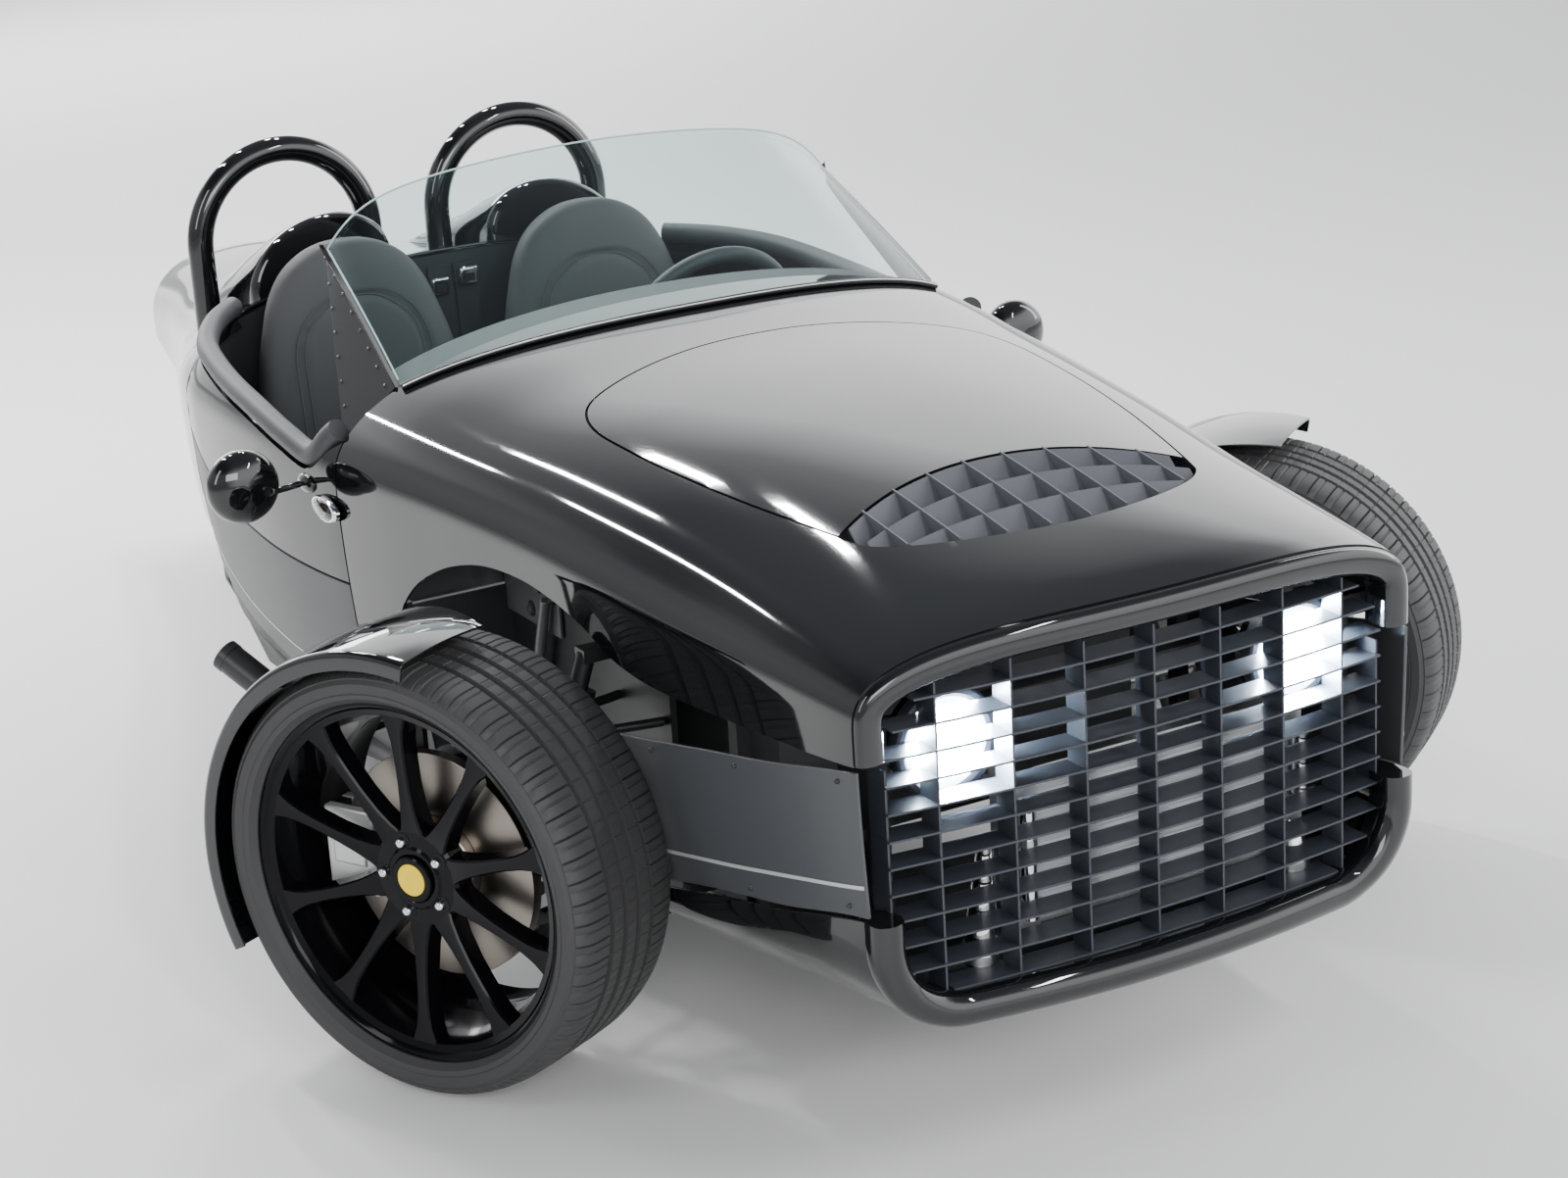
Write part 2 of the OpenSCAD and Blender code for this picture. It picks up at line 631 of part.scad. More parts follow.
// Bracket from the frame out to the inside of a skin: station, height, height and depth of the skin
PADS = [[-600, 470, 470, shell_t - 1], [-250, 440, 440, shell_t - 1], [-600, 618, 618, shell_t],
    [-250, 612, 612, shell_t], [-600, 350, 368, shell_t - 2], [-250, 290, 368, shell_t]];
pad = 16;
module front_frame() {
    tower_x = rail_x + 38;
    color("#232527")
        from_axle() {
            difference() {
                for (s = [-1, 1]) {
                    translate([s * rail_x - rail_s / 2, -536, rail_z])
                        cube([rail_s, 536 + rail_back - clear, rail_s]);
                    translate([s * rail_x - rail_s / 2, -640, rail_z + horn_lift])
                        cube([rail_s, 105, rail_s - horn_lift]);
                    // Jacking pad
                    translate([s * rail_x - 22, -175, rail_z - 10]) cube([44, 60, 11]);
                    translate([s * tower_x - 5, -90, tower_low]) cube([10, rail_back + 90 - clear, 490]);
                    translate([s * (rail_x + 27) - 15, -90, rail_z + 4]) cube([30, 500, 30]);
                    translate([s * (rail_x + 20) - 10, -630, rail_z + horn_lift]) cube([20, 94, 394 - horn_lift]);
                    translate([s * (rail_x + 20) - 10, -262, rail_z]) cube([20, 24, 394]);
                    // Engine mounts
                    for (y = [engine_y0 + 30, engine_y1 - 80])
                        translate([s * (engine_x / 2 + 10) - 30, y, rail_z + 16])
                            cube([60, 50, engine_z - clear - rail_z - 16]);
                }
                translate([-tower_x - 20, 0, front_r]) rotate([0, 90, 0]) cylinder(r = 26, h = 2 * tower_x + 40);
            }
            for (r = PADS)
                let (x = body_x(r[0] - pad / 2, r[2] - pad / 2) - r[3] - 2 * clear)
                both() translate([rail_x + 12, r[0] - pad / 2, r[1] - pad / 2]) cube([x - rail_x - 12, pad, pad]);
            translate([12 - rail_x, -640, rail_z]) cube([2 * rail_x - 24, 80, rail_s]);
            translate([-rail_x, rail_back - 40 - clear, rail_z]) cube([2 * rail_x, 40, rail_s]);
            translate([-rail_x - 20, lamp_y + lamp_back + clear, lamp_z - 12]) cube([2 * rail_x + 40, 24, 24]);
        }
}

// Lamps: offset from the centre plane, radius
lamp_x = 280;
lamp_z = 582;
lamp_r = 72;
lamp_y = -638;
lamp_back = 77;
module headlamps() {
    color("#dfe8f2")
        from_axle()
            for (s = [-1, 1])
                translate([s * lamp_x, lamp_y, lamp_z]) {
                    rotate([-90, 0, 0]) {
                        cylinder(r1 = lamp_r - 12, r2 = lamp_r, h = 12);
                        translate([0, 0, 12]) cylinder(r = lamp_r, h = 20);
                        translate([0, 0, 32]) cylinder(r1 = lamp_r, r2 = 40, h = lamp_back - 32);
                    }
                }
}

radiator_x = 70;
module radiator() {
    w = 440;
    h = 224;
    color("#9a9fa3")
        from_axle()
            translate([radiator_x - w / 2, -612, rail_z + rail_s + clear]) {
                cube([w, 40, h]);
                for (s = [0, 1]) {
                    translate([s * w - 20, -6, 0]) cube([40, 52, h]);
                    translate([s * w, 20, h - 30]) rotate([-90, 0, 0]) cylinder(r = 18, h = 60);
                }
            }
}

engine_x = 600;
engine_y0 = -230;
engine_y1 = 340;
engine_z = 290;
module engine_block() {
    color("#5a5c5e")
        from_axle()
            translate([-engine_x / 2, engine_y0, engine_z]) cube([engine_x, engine_y1 - engine_y0, 350]);
}

// Windscreen: the base lies on the cowl, the top is a flatter curve
function screen_pt(s, k) =
    let (xb = 486 * s, yb = 484 + 84 * s ^ 2, base = [xb, yb, body_z(yb, xb) + glass_t + 0.4],
        drop = 52 * s ^ 2 + 62 * abs(s) ^ 9,
        top = [462 * s, 860 + 26 * s ^ 2, glass_top - drop])
    base + (top - base) * k + [0, 22 * sin(k * 180) * (1 - s ^ 2) * 0.4 - 8 * sin(k * 180), 0];

module windscreen() {
    color("#bcd6d2", 0.35)
        from_axle()
            skin(function(u, v) screen_pt(v, u), steps(0, 1, 6),
                concat([-1, -0.97, -0.92], steps(-0.84, 0.84, 14), [0.92, 0.97, 1]),
                function(u, v) glass_t);
}

// Dark posts behind the glass's side edges
module screen_posts() {
    color("#1b1c1f")
        from_axle()
            both()
                skin(function(u, v)
                        let (a = screen_pt(1, u) + [6, 14, -2],
                            b = [558 - 96 * u, 652 + 244 * u, 742 + 264 * u])
                        a + (b - a) * v,
                    steps(0, 1, 6), steps(0, 1, 3), function(u, v) 12);
}

// Seat: a loft along the cushion and up the back
SEAT = [
    // station, height, half width, half thickness, slope
    [850, 232, 176, 44, 84],
    [900, 236, 198, 58, 88],
    [1060, 224, 204, 60, 94],
    [1190, 220, 202, 60, 106],
    [1262, 248, 200, 60, 140],
    [1304, 340, 206, 54, 168],
    [1334, 500, 210, 50, 168],
    [1366, 680, 198, 46, 168],
    [1386, 790, 170, 44, 170],
    [1396, 860, 132, 38, 172],
    [1400, 898, 84, 24, 174]
];
module seat() {
    loft([for (r = SEAT)
        let (f = seat_w / 420, k = (seat_top - 925) * max(0, r[1] - 450) / 475)
        [for (a = [0:24:336])
            let (c = cos(a), s = sin(a), x = r[2] * f * sign(c) * abs(c) ^ 0.6,
                d = r[3] * sign(s) * abs(s) ^ 0.7)
            [x, r[0] + d * cos(r[4]), r[1] + k + d * sin(r[4])]]]);
}

module seat_left() {
    color("#2b2c30") from_axle() translate([seat_x, 0, 0]) seat();
}

module seat_right() {
    color("#2b2c30") from_axle() translate([-seat_x, 0, 0]) seat();
}

hoop_foot = 520;
module roll_hoops() {
    arc_z = hoop_top - hoop_r - hoop_tube_d / 2;
    color("#0e0f11")
        from_axle() {
            for (s = [-1, 1])
                translate([s * (seat_x - 4), hoop_y, 0]) {
                    translate([0, 0, arc_z])
                        rotate([90, 0, 0])
                            rotate_extrude(angle = 180, $fn = 48)
                                translate([hoop_r, 0]) circle(d = hoop_tube_d, $fn = 24);
                    for (d = [-hoop_r, hoop_r])
                        translate([d, 0, hoop_foot]) cylinder(d = hoop_tube_d, h = arc_z - hoop_foot, $fn = 24);
                }
            translate([-seat_x - hoop_r + 4, hoop_y - 20, hoop_foot - 40])
                cube([2 * (seat_x + hoop_r - 4), 40, 44]);
        }
}

mirror_x = 712;
module mirrors() {
    color("#101114")
        from_axle()
            both() {
                translate([mirror_x, 690, 708])
                    rotate([90, 0, 0]) {
                        translate([0, 0, -14]) cylinder(r = 52, h = 14);
                        cylinder(r1 = 52, r2 = 30, h = 24);
                        translate([0, 0, 24]) cylinder(r1 = 30, r2 = 12, h = 8);
                    }
                translate([mirror_x, 690, 708])
                    rotate([0, -90, 0])
                        translate([-18, 0, 46]) cylinder(r = 7, h = mirror_x - body_x(690, 690) - 46 - 0.5);
            }
}

module marker_lamps() {
    color("#2a2b2d")
        from_axle()
            both()
                translate([body_x(640, 668) + 8, 626, 668])
                    rotate([0, 90, 0])
                        cylinder(r1 = 20, r2 = 14, h = 14, center = true);
}

module exhaust() {
    color("#3b3c3e")
        from_axle() {
            tube([[-400, 900, tub_low - 28.4], [-402, 1000, tub_low - 28.4], [-424, 1090, tub_low - 29],
                [-460, 1170, 103], [-504, 1250, 148], [-560, 1340, 212]], 28, 12);
        }
}

dash_t = 120;
module dashboard() {
    color("#232427")
        from_axle()
            difference() {
                union() {
                    skin(function(u, v) upper(u, v), concat([540, 560], steps(door_seam, 668, 3)),
                        steps(-0.57, 0.57, 12), function(u, v) dash_t, shell_t + 2.4);
                    // Bracket of the steering column
                    translate([wheel_hub[0] - 40, 600, 550]) cube([80, 40, 250]);
                }
                at_hub() translate([0, 0, 200]) cylinder(r = column_r + clear, h = 300);
            }
}

column_r = 24;
// Steering wheel frame: the hub's middle and the slope of its axis
wheel_hub = [seat_x + 8, 948, 742];
module at_hub() {
    translate(wheel_hub) rotate([90 + steering_wheel_tilt, 0, 0]) children();
}

module steering_column() {
    color("#1f2022")
        from_axle()
            at_hub()
                translate([0, 0, 21.4]) cylinder(r = column_r, h = 370);
}

module steering_wheel() {
    r = steering_wheel_d / 2 - 14;
    color("#1c1d1f")
        from_axle()
            at_hub() {
                rotate_extrude() translate([r, 0]) circle(r = 14, $fn = 20);
                translate([0, 0, -14]) cylinder(r = 42, h = 35);
                for (a = [0, 180, 270])
                    rotate([0, 0, a]) translate([30, -14, -5]) cube([r - 34, 28, 10]);
            }
}

// Front corner in the car's frame at rest: mirrored for the right side, then steered
module corner(side) {
    from_axle()
        translate([side * kingpin_x, 0, 0])
            rotate([0, 0, side > 0 ? steer_left : steer_right])
                mirror([side > 0 ? 0 : 1, 0, 0])
                    children();
}

front_r = front_tyre_d / 2;
lower_ball_z = 200;
upper_ball_z = 446;
pin_r = 9;

// Arms and dampers: fixed to the body
lug_half = 13;
arm_r = 7;
arm_end = rail_x + 45;
damper_y = 46;
module suspension() {
    color("#4a4d50")
        from_axle()
            both() {
                for (ball = [[lower_ball_z, 1], [upper_ball_z, -1]])
                    let (z = ball[0], s = ball[1], joint_z = z - s * (lug_half + 8 + clear)) {
                        translate([kingpin_x, 0, joint_z]) cylinder(r = 22, h = 16, center = true);
                        translate([kingpin_x, 0, (joint_z + z + s * lug_half) / 2])
                            cylinder(r = pin_r, h = abs(joint_z - z - s * lug_half), center = true);
                        for (y = [-70, 70])
                            rod([kingpin_x - 14, y * 0.1, joint_z], [arm_end, y, joint_z], arm_r);
                    }
                // Damper with its foot on the lower arm and its ear on the tower
                translate([kingpin_x - 110, damper_y, lower_ball_z - 8])
                    rotate([0, -20, 0]) {
                        cylinder(r = 14, h = 380);
                        translate([0, 0, 130]) cylinder(r = 27, h = 200);
                    }
                translate([kingpin_x - 120, -36, lower_ball_z - 30]) cube([26, damper_y + 48, 24]);
                translate([arm_end - 1.6, damper_y - 15, lower_ball_z + 340]) cube([70, 30, 20]);
            }
}

module drive_shafts() {
    start = engine_x / 2 + clear;
    color("#3a3c3e")
        from_axle()
            both()
                translate([start, 0, front_r])
                    rotate([0, 90, 0]) {
                        cylinder(r = 40, h = 24);
                        cylinder(r = 13, h = kingpin_x - start - 2);
                        translate([0, 0, kingpin_x - start - 92]) cylinder(r = 32, h = 50);
                    }
}

module knuckle() {
    z0 = front_r;
    difference() {
        union() {
            for (z = [lower_ball_z, upper_ball_z])
                translate([0, 0, z]) cylinder(r = 19, h = 2 * lug_half, center = true);
            translate([10, -24, lower_ball_z - 12]) cube([16, 48, upper_ball_z - lower_ball_z + 24]);
            translate([10, 0, z0]) rotate([0, 90, 0]) cylinder(r = 52, h = 16);
            translate([10, 0, z0]) rotate([0, 90, 0]) cylinder(r = 34, h = hub_offset + 46);
            // Caliper
            translate([12, 20, z0 - 40]) cube([14, disc_d / 2 - 70, 80]);
            translate([12, disc_d / 2 - 60, z0 - 62]) cube([14, 84, 124]);
            translate([12, disc_d / 2 + 6, z0 - 62]) cube([52, 18, 124]);
            translate([50, disc_d / 2 - 60, z0 - 62]) cube([14, 84, 124]);
            // Stays of the fender: a bracket out of the wheel, then two struts to the fender's edge
            translate([10, 10, upper_ball_z - 16]) cube([10, 58, 28]);
            translate([10, 32, upper_ball_z]) cube([10, 36, z0 + 200 - upper_ball_z]);
            translate([stay_x, 54, z0 + 188]) cube([10 - stay_x + 5, 14, 12]);
            for (a = [22, 78])
                let (q = front_r + fender_gap - fender_t - stay_r - 1.2,
                    d = [q * sin(a) - 61, q * cos(a) - 194]) {
                    translate([stay_x, 61, z0 + 194])
                        rotate([atan2(d[1], d[0]), 0, 0])
                            translate([0, -4, -5]) cube([6, norm(d) + 4, 10]);
                    translate([stay_x, q * sin(a), z0 + q * cos(a)])
                        rotate([0, 90, 0]) cylinder(r = stay_r, h = -stay_x - 48);
                }
            // Steering arm
            translate([-44, -110, z0 - 60]) cube([54, 20, 18]);
            translate([8, -112, z0 - 60]) cube([14, 100, 18]);
        }
        for (z = [lower_ball_z, upper_ball_z])
            translate([0, 0, z]) cylinder(r = pin_r + 0.5, h = 40, center = true);
    }
}

module knuckle_left() {
    color("#6a6d70") corner(1) knuckle();
}

module knuckle_right() {
    color("#6a6d70") corner(-1) knuckle();
}

// Fender: a strip round the tyre, carried by two stays from the knuckle
fender_from = -20;
fender_to = 116;
fender_gap = 26;
fender_t = 4;
stay_r = 6;
stay_x = -103;
module fender() {
    r = front_r + fender_gap;
    skin(function(u, v)
            let (a = fender_from + (fender_to - fender_from) * u, s = min(1, u / 0.22),
                inner = -20 - 40 * sin(s * 90), outer = hub_offset + front_tyre_w / 2 + 14,
                x = inner + (outer - inner) * min(1, v / 0.8),
                d = v > 0.8 ? (v - 0.8) / 0.2 * 26 : 0, rr = r + 6 * sin(min(1, v / 0.8) * 180) - d)
            [x, rr * sin(a), front_r + rr * cos(a)],
        steps(0, 1, 16), [0, 0.2, 0.4, 0.6, 0.74, 0.8, 0.9, 1], function(u, v) fender_t);
}

module fender_left() {
    color("#101114") corner(1) fender();
}

module fender_right() {
    color("#101114") corner(-1) fender();
}

// Rim: a barrel turned from one profile, with tapered spokes; x = 0 is the wheel's middle
module rim(d, w, bore_r) {
    r = d / 2;
    o = w / 2 - 16;
    rotate([0, 90, 0])
        rotate_extrude($fn = 96)
            polygon([[r - 36, -o], [r, -o], [r, -o + 8], [r - 12, -o + 12], [r - 16, -o + 40],
                [r - 34, -20], [r - 34, 20], [r - 14, o - 34], [r - 12, o - 12], [r, o - 8], [r, o],
                [r - 14, o], [r - 22, o - 20], [r - 40, 14], [r - 40, -16], [r - 24, -o + 20]]);
    difference() {
        union() {
            translate([o - 58, 0, 0]) rotate([0, 90, 0]) cylinder(r = 74, h = 36);
            for (i = [0:spokes - 1])
                rotate([i * 360 / spokes, 0, 0])
                    rotate([90, 0, 90])
                        translate([0, 0, o - 52])
                            linear_extrude(34)
                                polygon([[-17, 60], [17, 60], [9, r - 60], [15, r - 25], [-15, r - 25],
                                    [-9, r - 60]]);
        }
        translate([o - 70, 0, 0]) rotate([0, 90, 0]) cylinder(r = bore_r, h = 60);
    }
    translate([o - 22, 0, 0]) rotate([0, 90, 0]) cylinder(r = 40, h = 8);
}

module tyre(d, w, rim_d) {
    r = d / 2;
    q = rim_d / 2;
    h = w / 2;
    o = h - 16;
    half = [[q - 13.7, o - 36], [q - 11.5, o - 12.8], [q + 0.5, o - 8.6], [q + 0.6, o + 3], [q + 14, h - 2],
        [(q + r) / 2, h], [r - 16, h - 6], [r - 5, h - 22], [r, h - 50]];
    rotate([0, 90, 0])
        rotate_extrude($fn = 96)
            polygon(concat(half, [for (i = [len(half) - 1:-1:0]) [half[i][0], -half[i][1]]]));
}

module at_wheel(side) {
    corner(side) translate([hub_offset, 0, front_r]) children();
}

module rim_left() {
    color("#131416") at_wheel(1) rim(front_rim_d, front_tyre_w, 34.5);
}

module rim_right() {
    color("#131416") at_wheel(-1) rim(front_rim_d, front_tyre_w, 34.5);
}

module tyre_left() {
    color("#1d1e20") at_wheel(1) tyre(front_tyre_d, front_tyre_w, front_rim_d);
}

module tyre_right() {
    color("#1d1e20") at_wheel(-1) tyre(front_tyre_d, front_tyre_w, front_rim_d);
}

module disc() {
    rotate([0, 90, 0])
        difference() {
            union() {
                cylinder(d = disc_d, h = 18);
                cylinder(r = 72, h = 37);
            }
            translate([0, 0, -1]) cylinder(r = 34.5, h = 60);
        }
}

module disc_left() {
    color("#9b9da0") at_wheel(1) disc();
}

module disc_right() {
    color("#9b9da0") at_wheel(-1) disc();
}

rear_r = rear_tyre_d / 2;
arm_x = rear_tyre_w / 2 + 30;
pivot_y = 2020;
pivot_z = 300;
axle_r = 14;

// Swingarm, its pivot, the axle and the damper: fixed, since the suspension has no joint
module rear_frame() {
    color("#2a2c2e")
        from_axle() {
            for (s = [-1, 1]) {
                translate([s * arm_x - 15, pivot_y - 30, pivot_z - 35]) cube([30, wheelbase - pivot_y + 60, 70]);
                translate([s * arm_x - 20, frame_start, pivot_z - 30]) cube([40, pivot_y - frame_start, 60]);
                translate([s * arm_x - 20, hoop_y - 20, pivot_z]) cube([40, 40, hoop_foot - 40 - clear - pivot_z]);
            }
            translate([-arm_x, pivot_y, pivot_z]) rotate([0, 90, 0]) cylinder(r = 22, h = 2 * arm_x);
            translate([-arm_x, wheelbase, rear_r]) rotate([0, 90, 0]) cylinder(r = axle_r, h = 2 * arm_x);
            translate([-arm_x, frame_start, pivot_z - 30]) cube([2 * arm_x, 40, 60]);
        }
}

module rear_rim() {
    color("#131416")
        from_axle()
            translate([0, wheelbase, rear_r])
                difference() {
                    union() {
                        rim(rear_rim_d, rear_tyre_w, axle_r + 0.5);
                        rotate([0, 90, 0]) cylinder(r = 40, h = rear_tyre_w - 30, center = true);
                    }
                    rotate([0, 90, 0]) cylinder(r = axle_r + 0.5, h = rear_tyre_w + 20, center = true);
                }
}

module rear_tyre() {
    color("#1d1e20")
        from_axle()
            translate([0, wheelbase, rear_r]) tyre(rear_tyre_d, rear_tyre_w, rear_rim_d);
}

module tail_lamps() {
    color("#7a1518")
        from_axle()
            for (s = [-1, 1])
                translate([s * 84, tail_end - 2.6, 562])
                    rotate([-90, 0, 0]) {
                        cylinder(r = 36, h = 14);
                        translate([0, 0, 14]) cylinder(r1 = 36, r2 = 24, h = 8);
                    }
}

floor_tub();
front_frame();
nose_shell();
main_grille();
chin();
side_panels();
body_side_left();
body_side_right();
sills();
tail_shell();
seat_fairings();
cockpit_rim();
bulkhead();
headlamps();
radiator();
engine_block();
windscreen();
screen_posts();
seat_left();
seat_right();
roll_hoops();
mirrors();
marker_lamps();
exhaust();
dashboard();
steering_column();
suspension();
drive_shafts();
rear_frame();
tail_lamps();
hood_panel();
hood_vent();
steering_wheel();
knuckle_left();
knuckle_right();
fender_left();
fender_right();
rim_left();
rim_right();
tyre_left();
tyre_right();
disc_left();
disc_right();
rear_rim();
rear_tyre();
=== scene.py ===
from math import copysign, cos, exp, hypot, pi, radians, sin, sqrt

import bmesh
import bpy
import numpy as np
from mathutils import Matrix, Vector


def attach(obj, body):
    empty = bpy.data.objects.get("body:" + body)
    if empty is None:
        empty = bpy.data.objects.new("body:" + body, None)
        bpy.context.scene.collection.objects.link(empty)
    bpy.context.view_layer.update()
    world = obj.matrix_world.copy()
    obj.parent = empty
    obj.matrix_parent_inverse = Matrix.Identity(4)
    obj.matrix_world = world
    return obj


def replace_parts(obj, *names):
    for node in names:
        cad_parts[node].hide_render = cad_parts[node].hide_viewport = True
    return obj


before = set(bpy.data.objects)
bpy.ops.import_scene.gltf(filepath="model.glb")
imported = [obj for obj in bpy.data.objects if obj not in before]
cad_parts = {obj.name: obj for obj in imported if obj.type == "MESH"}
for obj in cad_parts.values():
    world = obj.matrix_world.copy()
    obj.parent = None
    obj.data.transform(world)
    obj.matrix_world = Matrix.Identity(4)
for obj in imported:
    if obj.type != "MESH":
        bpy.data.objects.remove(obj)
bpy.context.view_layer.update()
span = np.linspace

# Millimetres with stations measured back from the front axle, as in the part's source
MM = 0.001
AXLE_Y = -1001.0
SHELL_T = 5.0
GAP = 4.0
DOOR_SEAM = 585.0
TAIL_START = 1480.0
TAIL_END = 2718.0
WALL_T = 26.0
STEER = {1: radians(36), -1: radians(27)}
KINGPIN_X = 695.0
HUB_OFFSET = 30.0
FRONT_R = 320.0
REAR_R = 328.5
FRONT_W = 225.0
REAR_W = 265.0
RIM_D = 529.0
SPOKES = 10
BOLTS, BOLT_R = 5, 54.0
WHEELBASE = 2400.0
HOOP_X = 236.0
SEAT_X = 240.0
SIDES = {1: "left", -1: "right"}
SLOTS = {}


def new_node(tree, kind, **values):
    """New shader node with its inputs set by name, or by number after i."""
    node = tree.nodes.new("ShaderNode" + kind)
    for key, value in values.items():
        node.inputs[int(key[1:]) if key[1:].isdigit() else key.replace("_", " ")].default_value = value
    return node


def wire(tree, *links):
    for a, output, b, socket in links:
        tree.links.new(a.outputs[output], b.inputs[socket])


def paint(name, slot, color, rough, metal=0.0, coat=0.0, bump=None, emit=None, spec=0.5):
    """Material with its slot noted in SLOTS; bump is (scale, strength, distance)."""
    m = bpy.data.materials.new(name)
    m.use_nodes = True
    tree = m.node_tree
    p = tree.nodes["Principled BSDF"]
    values = {"Base Color": (*color, 1), "Roughness": rough, "Metallic": metal, "Specular IOR Level": spec,
              "Coat Weight": coat, "Coat Roughness": 0.02}
    if emit:
        values.update({"Emission Color": (*emit[0], 1), "Emission Strength": emit[1]})
    for key, value in values.items():
        p.inputs[key].default_value = value
    if bump:
        place = new_node(tree, "TexCoord")
        noise = new_node(tree, "TexNoise", Scale=bump[0], Detail=4)
        relief = new_node(tree, "Bump", Strength=bump[1], Distance=bump[2])
        wire(tree, (place, "Object", noise, "Vector"), (noise, "Fac", relief, "Height"),
             (relief, "Normal", p, "Normal"))
    SLOTS[m.name] = slot
    return m


def thin_glass(name, slot, tint):
    """Clear sheet that mirrors more at a steep angle."""
    m = bpy.data.materials.new(name)
    m.use_nodes = True
    tree = m.node_tree
    tree.nodes.remove(tree.nodes["Principled BSDF"])
    clear = new_node(tree, "BsdfTransparent", Color=(*tint, 1))
    gloss = new_node(tree, "BsdfGlossy", Roughness=0.0)
    facing = new_node(tree, "LayerWeight", Blend=0.5)
    steep = new_node(tree, "Math", i1=4.0)
    steep.operation = "POWER"
    share = new_node(tree, "Math", i1=0.8, i2=0.035)
    share.operation = "MULTIPLY_ADD"
    mix, out = new_node(tree, "MixShader"), tree.nodes["Material Output"]
    wire(tree, (facing, "Facing", steep, 0), (steep, "Value", share, 0), (share, "Value", mix, "Fac"),
         (clear, "BSDF", mix, 1), (gloss, "BSDF", mix, 2), (mix, "Shader", out, "Surface"))
    SLOTS[m.name] = slot
    return m


GLOSS = paint("gloss_black_paint", "gloss_black", (0.0045, 0.005, 0.006), 0.05, coat=0.5)
SIDE_PAINT = paint("gloss_black_side", "gloss_black", (0.0045, 0.005, 0.006), 0.06, coat=0.1, spec=0.4)
SATIN = paint("satin_grey_paint", "satin_grey", (0.060, 0.064, 0.070), 0.36, spec=0.4)
SILL_PAINT = paint("satin_grey_sill", "satin_grey", (0.028, 0.030, 0.033), 0.36, spec=0.35)
FRAME = paint("frame_powder_coat", "frame_black", (0.012, 0.0125, 0.014), 0.42, bump=(900, 0.12, 0.0004))
PLASTIC = paint("dark_plastic", "plastic_dark", (0.02, 0.021, 0.024), 0.5, bump=(1200, 0.15, 0.0004))
GRILLE = paint("grille_plastic", "plastic_dark", (0.032, 0.037, 0.048), 0.42)
VENT = paint("vent_plastic", "plastic_grey", (0.085, 0.09, 0.105), 0.52, bump=(1500, 0.1, 0.0003))
VINYL = paint("rim_vinyl", "trim_vinyl", (0.045, 0.046, 0.051), 0.5, bump=(1400, 0.35, 0.0006))
SEAT = paint("seat_vinyl", "seat_vinyl", (0.05, 0.05, 0.055), 0.58, bump=(1600, 0.4, 0.0006))
THREAD = paint("seat_thread", "seat_vinyl", (0.075, 0.077, 0.085), 0.7)
RUBBER = paint("tyre_rubber", "tyre", (0.034, 0.034, 0.035), 0.62, bump=(700, 0.25, 0.0005))
SEAL = paint("seal_rubber", "plastic_dark", (0.008, 0.008, 0.009), 0.4)
WHEEL = paint("wheel_enamel", "wheel_black", (0.003, 0.003, 0.004), 0.1, spec=0.14)
RIVET = paint("dark_rivet", "plastic_dark", (0.14, 0.14, 0.145), 0.35, metal=1.0)
POST = paint("post_plate", "plastic_dark", (0.010, 0.0105, 0.012), 0.38)
EDGE = paint("glass_edge", "tinted_glass", (0.42, 0.58, 0.57), 0.25)
STEEL = paint("bare_steel", "bare_steel", (0.55, 0.55, 0.56), 0.28, metal=1.0)
DISC = paint("disc_face", "bare_steel", (0.30, 0.27, 0.24), 0.34, metal=1.0, bump=(260, 0.2, 0.0005))
SILVER = paint("caliper_silver", "aluminium", (0.62, 0.63, 0.62), 0.35, metal=0.5)
CHROME = paint("chrome", "bare_steel", (0.8, 0.8, 0.82), 0.06, metal=1.0)
ALUMINIUM = paint("fin_aluminium", "aluminium", (0.62, 0.63, 0.65), 0.32, metal=1.0)
CAST = paint("casting", "aluminium", (0.16, 0.165, 0.17), 0.55, metal=0.6, bump=(300, 0.5, 0.001))
EXHAUST = paint("coated_exhaust", "exhaust_steel", (0.05, 0.05, 0.053), 0.38, metal=0.7)
# Flat near-black: the own colour of the gauge dials and plate washers, and painted shade in the wheel-nut
# wells, the exhaust bore and the buckle slots.
FLAT_BLACK_AND_SHADE = paint("flat_black_and_painted_shade", "wheel_black", (0.006, 0.006, 0.006), 0.9)
YELLOW = paint("cap_yellow", "wheel_black", (0.95, 0.68, 0.0), 0.4)
LIT = paint("lit_white", "lamp_clear", (1, 1, 1), 0.3, emit=((0.82, 0.91, 1.0), 45.0))
LIT_SOFT = paint("lit_soft", "lamp_clear", (0.9, 0.95, 1), 0.3, emit=((0.62, 0.8, 1.0), 11.0))
LIT_BAR = paint("lit_bar", "lamp_clear", (1, 1, 1), 0.3, emit=((0.9, 0.95, 1.0), 70.0))
PLATE = paint("plate_grey", "frame_black", (0.16, 0.165, 0.17), 0.45, metal=0.6, bump=(500, 0.2, 0.0004))
LENS_RED = paint("red_lens", "lamp_smoke", (0.28, 0.008, 0.012), 0.15, coat=1.0)
SMOKE = paint("smoked_lens", "lamp_smoke", (0.02, 0.016, 0.012), 0.08, coat=1.0)
STRIPE = paint("stripe_silver", "satin_grey", (0.62, 0.63, 0.64), 0.35, metal=0.4)
GLASS = thin_glass("tinted_glass", "tinted_glass", (0.86, 0.935, 0.93))
MIRROR = paint("mirror_face", "gloss_black", (0.9, 0.9, 0.9), 0.01, metal=1.0)
FABRIC = paint("belt_webbing", "trim_vinyl", (0.02, 0.02, 0.022), 0.8, bump=(2500, 0.4, 0.0004))

